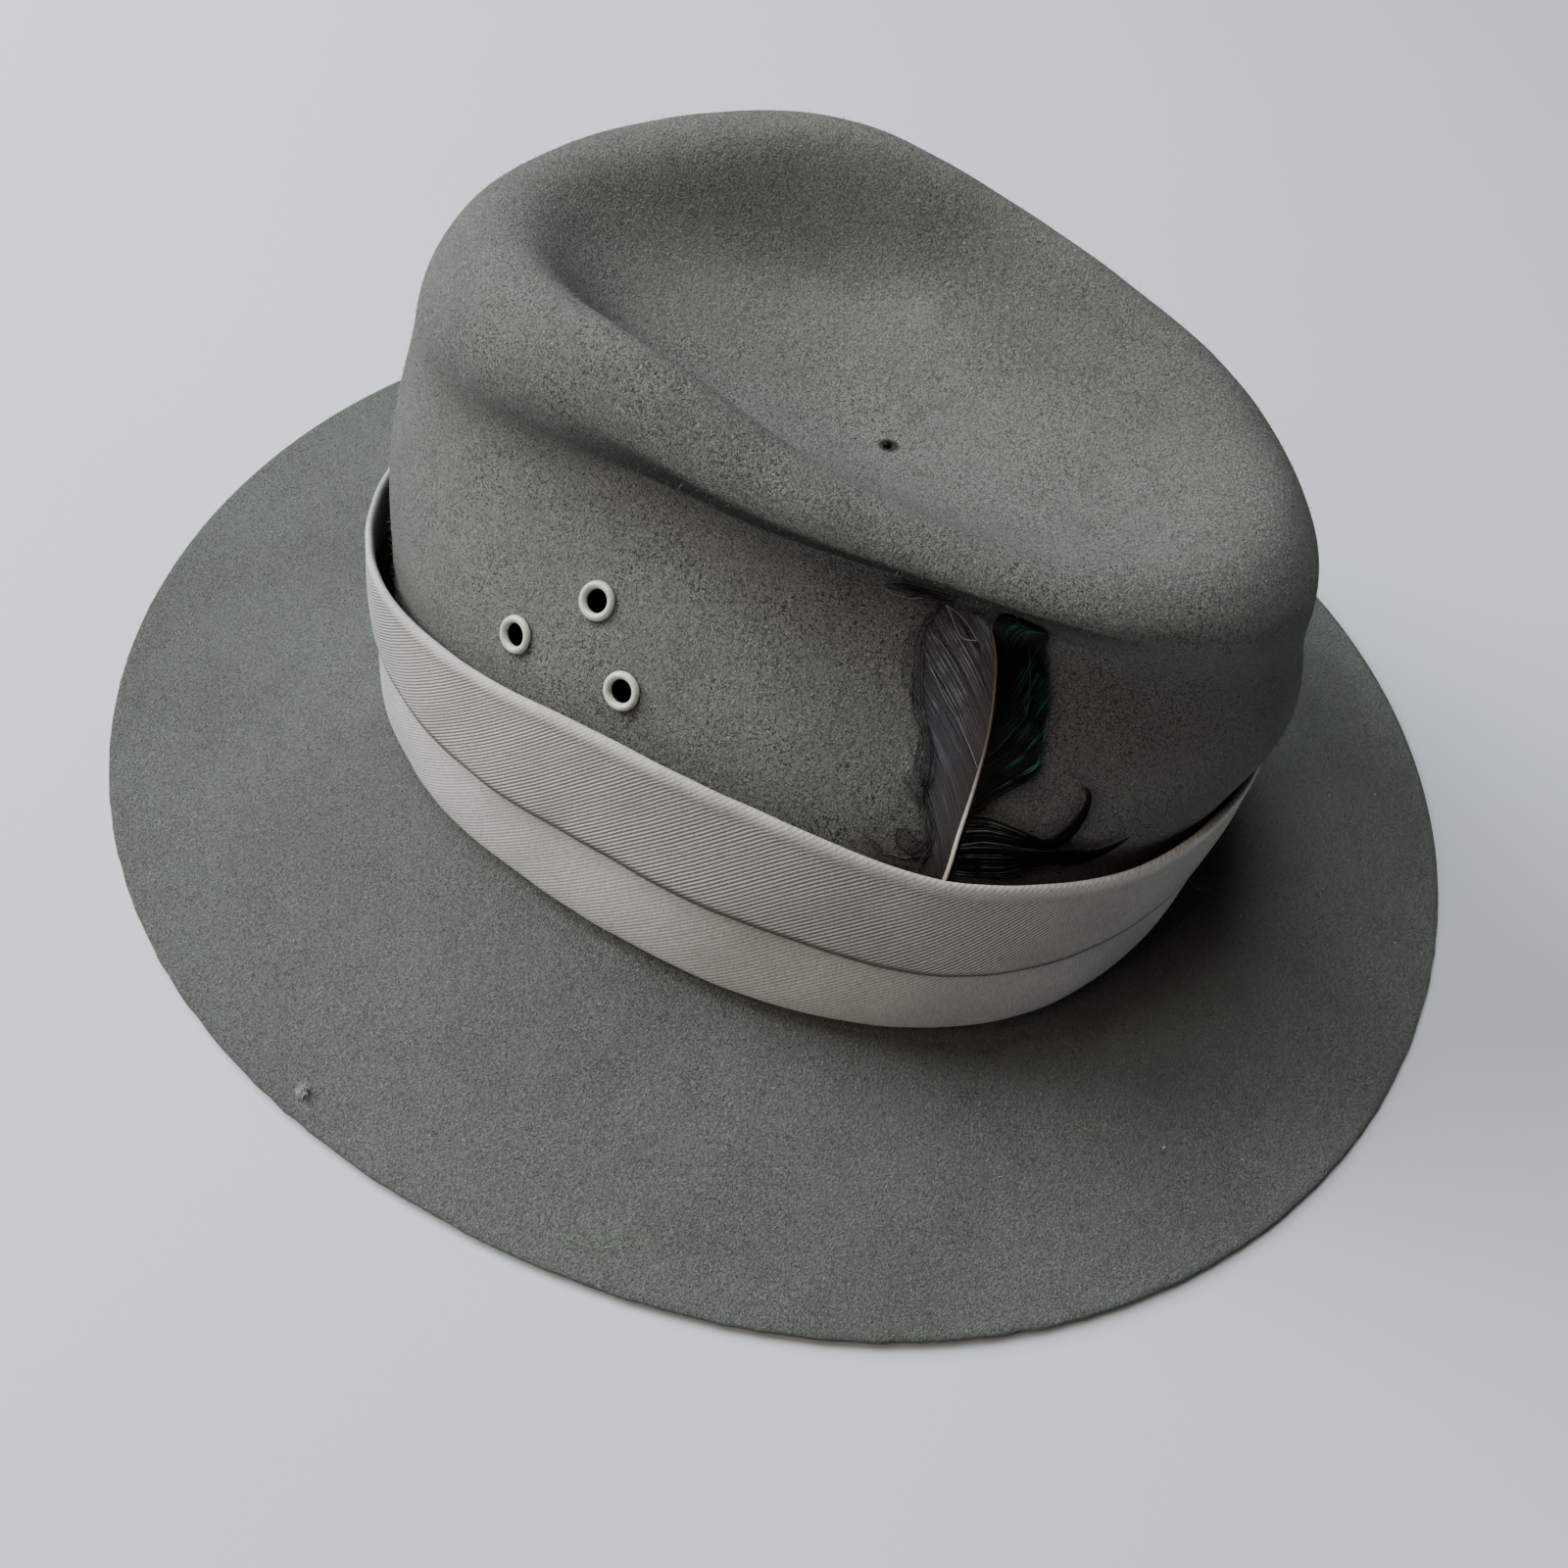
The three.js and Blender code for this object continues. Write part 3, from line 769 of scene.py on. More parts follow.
@dataclass(frozen=True)
class TwillFinish:
    """Cotton twill: slanting wales over fine threads, laid out in metres by the UV map.

    Places across the strip run down from 0 at its upper end, which is tucked in behind the top edge.
    """

    thread: Colour = (0.605, 0.562, 0.507, 1)
    groove: Colour = (0.10, 0.083, 0.064, 1)
    inner_shade: Colour = (0.012, 0.011, 0.009, 1)
    fold_shade: Colour = (0.03, 0.026, 0.02, 1)
    # Pitches in millimetres and angles in degrees from the strip's length.
    wale_pitch: float = 0.78
    wale_angle: float = 37
    warp_pitch: float = 0.45
    warp_angle: float = 97
    warp_share: float = 0.12
    # Places across the strip in metres: the shaded inner end, the worn top edge, the smoother lower ply,
    # and the dark inside of the fold, from its outer bend to the ply that comes out under it.
    inner_end: tuple[float, float] = (-0.0095, -0.0065)
    top_edge: tuple[float, float] = (-0.0125, -0.0095)
    lower_ply: tuple[float, float] = (-0.056, -0.05)
    fold_bend: tuple[float, float] = (-0.0345, -0.0328)
    fold_foot: tuple[float, float] = (-0.0556, -0.0526)

    def wave(self, cloth: Surface, where: bpy.types.NodeSocket, pitch: float, angle: float,
             wobble: bpy.types.NodeSocket, sway: float) -> bpy.types.NodeSocket:
        """A wave across lines that run at an angle to the cloth's length.

        Args:
            cloth: the material.
            where: the UV map's output.
            pitch: millimetres between lines.
            angle: degrees from the length direction.
            wobble: noise that bends the lines.
            sway: how far it bends them, in radians of the wave.

        Returns:
            A value from 0 in the grooves to 1 on the lines.
        """
        turn = math.radians(angle)
        rate = 2 * math.pi / (pitch * MM)
        across = (-math.sin(turn) * rate, math.cos(turn) * rate, 0)
        phase = cloth.add("ShaderNodeVectorMath", {0: where, 1: across}, operation="DOT_PRODUCT")
        bent = cloth.math("MULTIPLY_ADD", wobble, sway, phase.outputs["Value"])
        return cloth.math("MULTIPLY_ADD", cloth.math("SINE", bent), 0.5, 0.5)

    def material(self) -> bpy.types.Material:
        """Makes the band's material.

        Returns:
            The material.
        """
        cloth = Surface("twill", Roughness=0.9, Sheen_Weight=0.12, Sheen_Roughness=0.45,
                        Sheen_Tint=(0.92, 0.93, 0.9, 1), Specular_IOR_Level=0.25)
        where = cloth.add("ShaderNodeUVMap", uv_map="cloth").outputs[0]
        wobble = cloth.noise(5, 3.0, where)
        wales = self.wave(cloth, where, self.wale_pitch, self.wale_angle, wobble, sway=1.6)
        warp = self.wave(cloth, where, self.warp_pitch, self.warp_angle, wobble, sway=0.9)
        slub = cloth.noise(0.5, 2.0, where, stretch=(1, 0.25, 1))
        stain = cloth.noise(24, 3.0, where)
        height = cloth.math("MULTIPLY_ADD", warp, self.warp_share, wales)
        across = cloth.add("ShaderNodeSeparateXYZ", {0: where}).outputs["Y"]
        worn_edge = cloth.ramp(across, *self.top_edge, 1.0, 0.3)
        smooth_ply = cloth.ramp(across, *self.lower_ply, 0.42, 0.88)
        relief = cloth.product(worn_edge, smooth_ply)
        deep = cloth.product(cloth.ramp(height, 0.2, 0.9, 1.0, 0.0), relief)
        folded = cloth.product(cloth.ramp(across, *self.fold_bend, 0.85, 0.0),
                               cloth.ramp(across, *self.fold_foot))
        base = cloth.mix(deep, self.thread, self.groove)
        base = cloth.mix(cloth.ramp(across, *self.inner_end, 0.0, 0.93), base, self.inner_shade)
        base = cloth.mix(folded, base, self.fold_shade)
        base = cloth.mix(cloth.ramp(slub, 0.35, 0.75, 0.0, 0.3), base, self.groove)
        base = cloth.mix(cloth.ramp(stain, 0.4, 0.7, 0.0, 0.16), base, self.groove)
        cloth.set("Base Color", base)
        uneven = cloth.bump(cloth.noise(3.0, 3.0, where), depth=0.25, strength=0.5)
        weave = cloth.bump(cloth.product(height, relief), depth=0.2, strength=0.7, under=uneven)
        cloth.set("Normal", cloth.bump(slub, depth=0.05, strength=0.5, under=weave))
        return cloth.material


@dataclass(frozen=True)
class EnamelFinish:
    """Pale painted metal, dulled and dirty in patches, with near-black painted shade on the bore, barrel and
    washer.
    """

    paint: Colour = (0.52, 0.53, 0.43, 1)
    grime_and_painted_shade: Colour = (0.16, 0.15, 0.11, 1)
    # Near-black painted shade for what lies low in the hole: bore, barrel and washer.
    barrel: Colour = (0.006, 0.006, 0.005, 1)
    grime_share: float = 0.55
    clean_roughness: float = 0.24
    dull_roughness: float = 0.55

    def material(self) -> bpy.types.Material:
        """Makes the vent rings' material.

        Returns:
            The material.
        """
        enamel = Surface("painted_metal", Roughness=0.3, Coat_Weight=0.35, Coat_Roughness=0.18,
                         Specular_IOR_Level=0.55)
        wear = enamel.noise(1.6, 4.0, roughness=0.65)
        base = enamel.mix(enamel.ramp(wear, 0.52, 0.75, 0.0, self.grime_share), self.paint, self.grime_and_painted_shade)
        # Painted shade: where the share is 0 the ring takes the near-black barrel colour.
        enamel.set("Base Color", enamel.mix(enamel.attribute("share"), self.barrel, base))
        enamel.set("Roughness", enamel.ramp(wear, 0.3, 0.75, self.clean_roughness, self.dull_roughness))
        enamel.set("Normal", enamel.bump(enamel.noise(0.7), depth=0.05, strength=0.4))
        return enamel.material


@dataclass(frozen=True)
class BarbFinish:
    """Barbs of one colour: tints from root to tip, and single paler and darker barbs where they part; the
    paler ones carry the gleam, a painted highlight.

    A share is a place along a barb, a row is a barb's place up the vane and a tint is a number of its own,
    each from 0 to 1.
    """

    name: str
    root: Colour
    tip: Colour
    # The gleam is a painted highlight on single barbs; on the dark vanes it is a painted green sheen.
    gleam: Colour
    dark: Colour = (0.012, 0.011, 0.010, 1)
    # Over these shares and rows the root's colour turns into the tip's.
    tip_shares: tuple[float, float] = (0.1, 0.7)
    tip_rows: tuple[float, float] = (0.15, 0.6)
    # Over these rows the barbs grow from even to strongly streaked.
    streaked_rows: tuple[float, float] = (0.35, 0.7)
    # Over these shares the gleam's pale streaks, a painted highlight, set in, and over the next ones they
    # fade out.
    glow: tuple[float, float] = (0.0, 0.01)
    fade: tuple[float, float] = (2.0, 3.0)
    # Barbs with these tints take the gleam's painted highlight, and barbs with the next ones are dark.
    pale_tints: tuple[float, float] = (0.7, 0.97)
    dark_tints: tuple[float, float] = (0.4, 0.05)
    gleam_share: float = 0.6
    dark_share: float = 0.6
    specular: float = 0.4
    sheen: float = 0.15
    roughness: float = 0.45

    def material(self) -> bpy.types.Material:
        """Makes the barbs' material.

        Returns:
            The material.
        """
        barb = Surface(self.name, Roughness=self.roughness, Sheen_Weight=self.sheen, Sheen_Roughness=0.35,
                       Sheen_Tint=(0.75, 0.8, 0.95, 1), Anisotropic=0.5, Specular_IOR_Level=self.specular)
        share, tint, row = barb.attribute("share"), barb.attribute("tint"), barb.attribute("row")
        outer = barb.product(barb.ramp(share, *self.tip_shares), barb.ramp(row, *self.tip_rows))
        streaks = barb.ramp(row, *self.streaked_rows, 0.12, 1.0)
        patches = barb.ramp(barb.noise(3.5, 2.0), 0.36, 0.6)
        # Painted highlight: the gleam on single pale barbs in the streaked rows.
        pale = barb.product(barb.ramp(tint, *self.pale_tints), streaks, patches, barb.ramp(share, *self.glow),
                            barb.ramp(share, *self.fade, 1.0, 0.0), self.gleam_share)
        deep = barb.product(barb.ramp(tint, *self.dark_tints), streaks, self.dark_share)
        base = barb.mix(outer, self.root, self.tip)
        base = barb.mix(pale, base, self.gleam)
        barb.set("Base Color", barb.mix(deep, base, self.dark))
        barb.set("Normal", barb.bump(barb.noise(0.35), depth=0.06, strength=0.5))
        return barb.material


@dataclass(frozen=True)
class QuillFinish:
    """Ivory horn of the feather's shaft, darker towards its thin end."""

    base: Colour = (0.66, 0.61, 0.52, 1)
    tip: Colour = (0.085, 0.055, 0.042, 1)
    tip_shares: tuple[float, float] = (0.22, 0.55)
    stain_share: float = 0.35

    def material(self) -> bpy.types.Material:
        """Makes the quill's material.

        Returns:
            The material.
        """
        horn = Surface("quill_horn", Roughness=0.42, Coat_Weight=0.2, Coat_Roughness=0.3)
        share = horn.attribute("share")
        colour = horn.mix(horn.ramp(share, *self.tip_shares), self.base, self.tip)
        stain = horn.ramp(horn.noise(1.2, 3.0), 0.5, 0.8, 0.0, self.stain_share)
        colour = horn.mix(stain, colour, self.tip)
        horn.set("Base Color", colour)
        horn.set("Normal", horn.bump(horn.noise(0.5), depth=0.05, strength=0.5))
        return horn.material


@dataclass(frozen=True)
class FibreFinish:
    """Loose fibres and hairs, each with a tint between two colours."""

    name: str
    dark: Colour
    light: Colour
    roughness: float = 0.7

    def material(self) -> bpy.types.Material:
        """Makes the fibres' material.

        Returns:
            The material.
        """
        fibre = Surface(self.name, Roughness=self.roughness, Specular_IOR_Level=0.3)
        spread = fibre.noise(1.3, 2.0)
        fibre.set("Base Color", fibre.mix(fibre.ramp(spread, 0.35, 0.68), self.dark, self.light))
        return fibre.material


class Slot(Enum):
    """Names of material slots."""

    FELT = "felt"
    TWILL = "twill"
    METAL = "eyelet_metal"
    QUILL = "quill"
    GREY = "grey_barbs"
    GREEN = "green_barbs"


def settle(piece: bpy.types.Object, material: bpy.types.Material | None,
           nodes: tuple[str, ...] = ()) -> bpy.types.Object:
    """Gives a finished piece its material, its body and the nodes that it stands for.

    Args:
        piece: the finished mesh object.
        material: its material, or None where the mesh has it already.
        nodes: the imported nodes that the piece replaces.

    Returns:
        The same piece.
    """
    if material:
        piece.data.materials.clear()
        piece.data.materials.append(material)
    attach(piece, "root")
    if nodes:
        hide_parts(*nodes)
    LOG.info("%s: %d vertices, %d faces", piece.name, len(piece.data.vertices), len(piece.data.polygons))
    return piece


# ---------------------------------------------------------------------------------------------------------
# The felt hood


@dataclass(frozen=True)
class Vent:
    """A vent ring's place in the wall of the crown."""

    node: str
    at: float
    height: float


VENTS = (Vent("eyelet_front", 64.0, 79.8), Vent("eyelet_top", 73.7, 92.2), Vent("eyelet_back", 84.8, 82.4))


@dataclass
class FeltHood:
    """The felt: its outer and inner faces, the cut edge, the vent holes and the pin hole."""

    shape: FeltShape
    thickness: float = 2.0
    settled: float = 0.5
    around: int = 400
    step: float = 1.55
    inner_every: int = 4
    vent_hole: float = 3.1
    drill_length: float = 14
    pin_at: tuple[float, float, float] = (7.9, 20.3, 108)
    pin_half: tuple[float, float] = (1.4, 0.9)
    # The lowest height of the outer face, which keeps the cut edge its thickness.
    lowest: float = 0.8
    # The unevenness in millimetres, the share of its finer waves, and the stations over which it calms
    # down to a share of itself at the edge.
    swell: float = 0.22
    fine_swell: float = 0.3
    calm_stations: float = 3
    calm_share: float = 0.25
    # The rows of the cut edge as shares of the way down it.
    edge_rows: tuple[float, ...] = (0.18, 0.5, 0.82)
    edge_bulge: float = 0.3
    edge_jag: float = 0.14

    def shell(self) -> tuple[np.ndarray, list]:
        """Makes the closed hood, without holes.

        Returns:
            Its points in millimetres and its faces.
        """
        azimuths = azimuths_round(self.around)
        stations = self.shape.even_stations(self.step)[1:]
        outer = self.shape.points(azimuths[None, :], stations[:, None])
        normals = self.shape.normals(azimuths[None, :], stations[:, None])
        ripple = (Ripple(11, 55).at(outer) + Ripple(12, 17).at(outer) * self.fine_swell) * self.swell
        calm = np.clip((stations[-1] - stations) / self.calm_stations, 0, 1)[:, None]
        outer = outer + normals * (ripple * (self.calm_share + (1 - self.calm_share) * calm))[..., None]
        inner_rows = np.unique(np.concatenate([np.arange(0, len(stations), self.inner_every),
                                               [len(stations) - 1]]))
        inner = outer[inner_rows] - normals[inner_rows] * self.thickness
        low = inner[..., 2] < self.settled
        inner[low, 2] = 0
        outer[..., 2] = np.maximum(outer[..., 2], self.lowest)
        edge = self.cut_edge(outer[-1], inner[-1])
        rings = np.concatenate([outer, edge, inner[::-1]])
        top = np.array([[0, self.shape.axis_y, self.shape.points(np.array(0.0), np.array(0.0))[2]]])
        points = np.concatenate([rings.reshape(-1, 3), top, top - (0, 0, self.thickness)])
        faces = ring_faces(len(rings), self.around).tolist()
        last = (len(rings) - 1) * self.around
        tip = len(points) - 2
        for i in range(self.around):
            beside = (i + 1) % self.around
            faces.append([tip, i, beside])
            faces.append([tip + 1, last + beside, last + i])
        return points, faces

    def cut_edge(self, upper: np.ndarray, lower: np.ndarray) -> np.ndarray:
        """Rows of points between the outer and the inner face at the brim's cut edge.

        Args:
            upper: the outer face's last row.
            lower: the inner face's last row.

        Returns:
            Three rows, rounded outwards and slightly ragged.
        """
        outwards = (upper - (0, self.shape.axis_y, 0)) * (1, 1, 0)
        outwards /= np.linalg.norm(outwards, axis=1, keepdims=True)
        ragged = Ripple(13, 5).at(upper) * self.edge_jag
        rows = []
        for share in self.edge_rows:
            bulge = self.edge_bulge * math.sin(math.pi * share) + ragged
            rows.append(upper * (1 - share) + lower * share + outwards * bulge[:, None])
        return np.array(rows)

    def cutters(self) -> bpy.types.Object:
        """Makes the drills of the vent holes and the pin hole.

        Returns:
            One object with all of them.
        """
        work = bmesh.new()
        radius, length = self.vent_hole * MM, self.drill_length * MM
        for vent in VENTS:
            point, normal = self.shape.wall(np.array(vent.at), np.array(vent.height))
            turn = Vector(normal).to_track_quat("Z", "Y").to_matrix().to_4x4()
            place = Matrix.Translation(Vector(point) * MM) @ turn
            bmesh.ops.create_cone(work, cap_ends=True, segments=40, radius1=radius, radius2=radius,
                                  depth=length, matrix=place)
        flatten = Matrix.Diagonal((self.pin_half[0] * MM, self.pin_half[1] * MM, length, 1))
        place = Matrix.Translation(Vector(self.pin_at) * MM)
        bmesh.ops.create_cone(work, cap_ends=True, segments=28, radius1=1, radius2=1, depth=1,
                              matrix=place @ flatten)
        mesh = bpy.data.meshes.new("drills")
        work.to_mesh(mesh)
        work.free()
        return link("drills", mesh)

    def build(self, finish: FeltFinish) -> bpy.types.Object:
        """Builds the hood with its holes and dresses it.

        Args:
            finish: the felt's finish.

        Returns:
            The piece.
        """
        points, faces = self.shell()
        hood = mesh_object("fur_felt_hood", points, faces)
        drills = self.cutters()
        cut = hood.modifiers.new("holes", "BOOLEAN")
        cut.operation = "DIFFERENCE"
        cut.solver = "MANIFOLD"
        cut.object = drills
        plain_mesh(hood)
        hood.data.shade_smooth()
        bpy.data.objects.remove(drills)
        return settle(hood, finish.material(), ("felt_body",))


@dataclass
class Nap:
    """Short fur fibres that lie on the felt, and the raw fibres of the brim's cut edge."""

    shape: FeltShape
    around: int = 240
    step: float = 3.0
    count: int = 36000
    length: float = 1.1
    thickness: float = 0.055
    lean: float = 0.45
    sizes: tuple[float, float] = (0.5, 1.3)
    lowest: float = 0.8
    # Fibres per area, as a share: none under the band and round the vents, more along the cut edge.
    band_stations: tuple[float, float] = (11.2, 13.2)
    vent_reach: float = 6.5
    edge_share: float = 1.6

    def ground(self) -> bpy.types.Object:
        """Makes the surface that the fibres grow on.

        Returns:
            The surface, with a share of the fibres for each point.
        """
        stations = self.shape.even_stations(self.step)[1:]
        points = self.shape.points(azimuths_round(self.around)[None, :], stations[:, None])
        share = np.ones(points.shape[:2])
        first, last = self.band_stations
        share[(stations > first) & (stations < last)] = 0
        for vent in VENTS:
            spot, _ = self.shape.wall(np.array(vent.at), np.array(vent.height))
            share[np.linalg.norm(points - spot, axis=-1) < self.vent_reach] = 0
        share[-1] = self.edge_share
        points[..., 2] = np.maximum(points[..., 2], self.lowest)
        faces = ring_faces(len(stations), self.around).tolist()
        ground = mesh_object("felt_nap", points.reshape(-1, 3), faces)
        set_values(ground.data, "share", share)
        return ground

    def tree(self) -> GeometryTree:
        """Makes the tree that scatters fibres over a surface.

        Returns:
            The tree.
        """
        tree = GeometryTree("scatter_fibres")
        given = tree.inputs({"Density": "NodeSocketFloat", "Length": "NodeSocketFloat",
                             "Thickness": "NodeSocketFloat", "Lean": "NodeSocketFloat",
                             "Smallest": "NodeSocketFloat", "Largest": "NodeSocketFloat",
                             "Seed": "NodeSocketInt", "Material": "NodeSocketMaterial"}).outputs
        share = tree.add("GeometryNodeInputNamedAttribute", {"Name": "share"}, data_type="FLOAT").outputs[0]
        spots = tree.add("GeometryNodeDistributePointsOnFaces", {
            "Mesh": given["Geometry"], "Density": tree.product(share, given["Density"]),
            "Seed": given["Seed"]}).outputs
        fibre = tree.add("GeometryNodeMeshCone", {
            "Vertices": 3, "Radius Top": 0.0, "Radius Bottom": given["Thickness"],
            "Depth": given["Length"]}, fill_type="NONE").outputs[0]
        astray = tree.add("FunctionNodeRandomValue", {
            0: (-1, -1, -1), 1: (1, 1, 1), "Seed": given["Seed"]}, data_type="FLOAT_VECTOR").outputs[0]
        upright = tree.add("ShaderNodeVectorMath", {
            0: spots["Normal"], "Scale": given["Lean"]}, operation="SCALE").outputs[0]
        aim = tree.add("ShaderNodeVectorMath", {0: upright, 1: astray}, operation="ADD").outputs[0]
        turn = tree.add("FunctionNodeAlignRotationToVector", {"Vector": aim}, axis="Z").outputs[0]
        size = tree.add("FunctionNodeRandomValue", {
            2: given["Smallest"], 3: given["Largest"], "Seed": given["Seed"]}, data_type="FLOAT").outputs[1]
        fibres = tree.add("GeometryNodeInstanceOnPoints", {
            "Points": spots[0], "Instance": fibre, "Rotation": turn, "Scale": size}).outputs[0]
        tree.finish(fibres, given["Material"])
        return tree

    def build(self, finish: FibreFinish) -> bpy.types.Object:
        """Grows the fibres and dresses them.

        Args:
            finish: the fibres' finish.

        Returns:
            The piece.
        """
        ground = self.ground()
        area = sum(p.area for p in ground.data.polygons)
        nap = self.tree().run(ground, {
            "Density": self.count / area, "Length": self.length * MM, "Thickness": self.thickness * MM,
            "Lean": self.lean, "Smallest": self.sizes[0], "Largest": self.sizes[1], "Seed": 5,
            "Material": finish.material()})
        return settle(nap, None)


# ---------------------------------------------------------------------------------------------------------
# The band


@dataclass
class TwillBand:
    """A strip of twill folded in two steps round the crown, with a turned-in edge above and below."""

    shape: FeltShape
    hem: Oval = Oval(90.1, 106.1, -0.4, 1.5, -1.3, 11.6, 14.9, 1.5)
    top: Oval = Oval(79.4, 107.0, 1.3, 0.1, -1.7, 55.6, 21.1, 2.3)
    cloth: float = 0.5
    around: int = 420
    samples: int = 62
    # The strip laid flat: its width and length in metres.
    flat: tuple[float, float] = (0.083, 0.608)
    # Azimuths between which the upper fold stands out over the lower one, on the left within a few
    # degrees of ease and on the right by a share, and how much it stands out everywhere.
    fold_left: tuple[float, float] = (48, 164)
    fold_left_ease: float = 26
    fold_right: tuple[float, float] = (200, 320)
    fold_right_share: float = 0.7
    least_fold: float = 0.12
    # (seed, wavelength, size) of the cloth's unevenness, in millimetres.
    uneven: tuple[tuple[int, float, float], ...] = ((21, 38, 0.22), (22, 12, 0.07))
    # (at, spread, reach): where the top stands away from the crown, at the front and over the quill, and
    # where it lies closer, at the back.
    gapes: tuple[tuple[float, float, float], ...] = ((24, 22, 2.2), (133, 9, 0.8), (176, 22, -1.0))
    # The cloth's path: (share of the band's height, millimetres outwards, millimetres more where folded).
    path: tuple[tuple[float, float, float], ...] = (
        (0.84, -1.05, 0), (0.91, -1.15, 0), (0.97, -1.1, 0), (1.005, -0.7, 0), (1.012, -0.1, 0),
        (0.995, 0.4, 0), (0.965, 0.5, 0), (0.935, 0.34, 0), (0.90, 0.5, 0), (0.80, 0.75, 0.2),
        (0.68, 0.85, 0.7), (0.58, 0.75, 1.25), (0.51, 0.62, 1.6), (0.468, 0.5, 1.4), (0.455, 0.3, 0.75),
        (0.475, 0.05, 0.12), (0.54, -0.1, 0), (0.62, -0.2, 0), (0.655, -0.45, 0), (0.62, -0.72, 0),
        (0.54, -0.68, 0), (0.46, -0.45, 0), (0.38, 0.0, 0), (0.28, 0.3, 0), (0.17, 0.4, 0), (0.09, 0.25, 0),
        (0.035, -0.05, 0), (0.01, -0.5, 0), (0.02, -1.0, 0), (0.07, -1.2, 0), (0.15, -1.2, 0),
    )

    def depth_of_fold(self, azimuth: np.ndarray) -> np.ndarray:
        """How far the upper fold stands out over the lower one.

        Args:
            azimuth: degrees.

        Returns:
            A number from 0 to 1 for each azimuth.
        """
        first, last = self.fold_left
        start = np.clip((azimuth - first) / self.fold_left_ease, 0, 1)
        end = np.clip((last - azimuth) / self.fold_left_ease, 0, 1)
        left = start**2 * (3 - 2 * start) * end**2 * (3 - 2 * end)
        first, last = self.fold_right
        turn = np.clip((azimuth - first) / (last - first), 0, 1) * 2 * np.pi
        right = self.fold_right_share * (0.5 - 0.5 * np.cos(turn))
        return self.least_fold + (1 - self.least_fold) * np.maximum(left, right)

    def build(self, finish: TwillFinish) -> bpy.types.Object:
        """Builds the folded strip and dresses it.

        Args:
            finish: the twill's finish.

        Returns:
            The piece.
        """
        azimuths = azimuths_round(self.around)
        hem, top = self.hem.point(azimuths), self.top.point(azimuths)
        lean = top - hem
        tall = np.linalg.norm(lean, axis=1)
        up = lean / tall[:, None]
        out = np.stack([up[:, 1], -up[:, 0]], -1)
        curve = along(np.array(self.path), self.samples)
        fold = self.depth_of_fold(azimuths)
        rise = curve[None, :, 0] * tall[:, None]
        swell = curve[None, :, 1] + curve[None, :, 2] * fold[:, None]
        gape = np.zeros(self.around)
        for at, spread, reach in self.gapes:
            away = (azimuths - at + 180) % 360 - 180
            gape += reach * np.exp(-((away / spread) ** 2))
        centre = np.stack([rise, swell], -1)
        run = np.gradient(centre, axis=1)
        run /= np.linalg.norm(run, axis=2, keepdims=True)
        side = np.stack([run[..., 1], -run[..., 0]], -1) * self.cloth / 2
        loop = np.concatenate([centre + side, (centre - side)[:, ::-1]], 1)
        profile = (hem[:, None] + loop[..., :1] * up[:, None] + loop[..., 1:] * out[:, None])
        profile[..., 0] += gape[:, None] * np.clip(loop[..., 0] / tall[:, None], 0, 1.1)
        points = self.shape.place(azimuths[:, None], profile[..., 0], profile[..., 1])
        uneven = sum(Ripple(seed, wavelength).at(points) * size for seed, wavelength, size in self.uneven)
        points = points + self.shape.place(azimuths[:, None], uneven, 0 * uneven) - (0, self.shape.axis_y, 0)
        points = np.moveaxis(points, 1, 0)
        faces = ring_faces(2 * self.samples, self.around, closed=True)
        band = mesh_object("twill_band", points.reshape(-1, 3), faces.tolist())
        self.lay_out(band, centre, faces)
        settle(band, finish.material(), ("hat_band",))
        return band

    def lay_out(self, band: bpy.types.Object, centre: np.ndarray, faces: np.ndarray) -> None:
        """Gives the band its UV map: metres along the strip and across it.

        Args:
            band: the band.
            centre: the cloth's path at each azimuth.
            faces: the vertex numbers of its quads.
        """
        across = np.linalg.norm(np.diff(centre, axis=1), axis=2).mean(0)
        across = np.concatenate([[0], np.cumsum(across)])
        height = np.concatenate([across, across[::-1]]) * -MM
        length = (self.top.half_width + self.top.half_length + self.hem.half_width + self.hem.half_length) / 4
        row, column = faces // self.around, faces % self.around
        column = np.where((column == 0) & (faces[:, 2:3] % self.around == 0), self.around, column)
        places = np.stack([column / self.around * 2 * np.pi * length * MM, height[row]], -1)
        layer = band.data.uv_layers.new(name="cloth")
        layer.data.foreach_set("uv", places.reshape(-1))


# ---------------------------------------------------------------------------------------------------------
# The vent rings


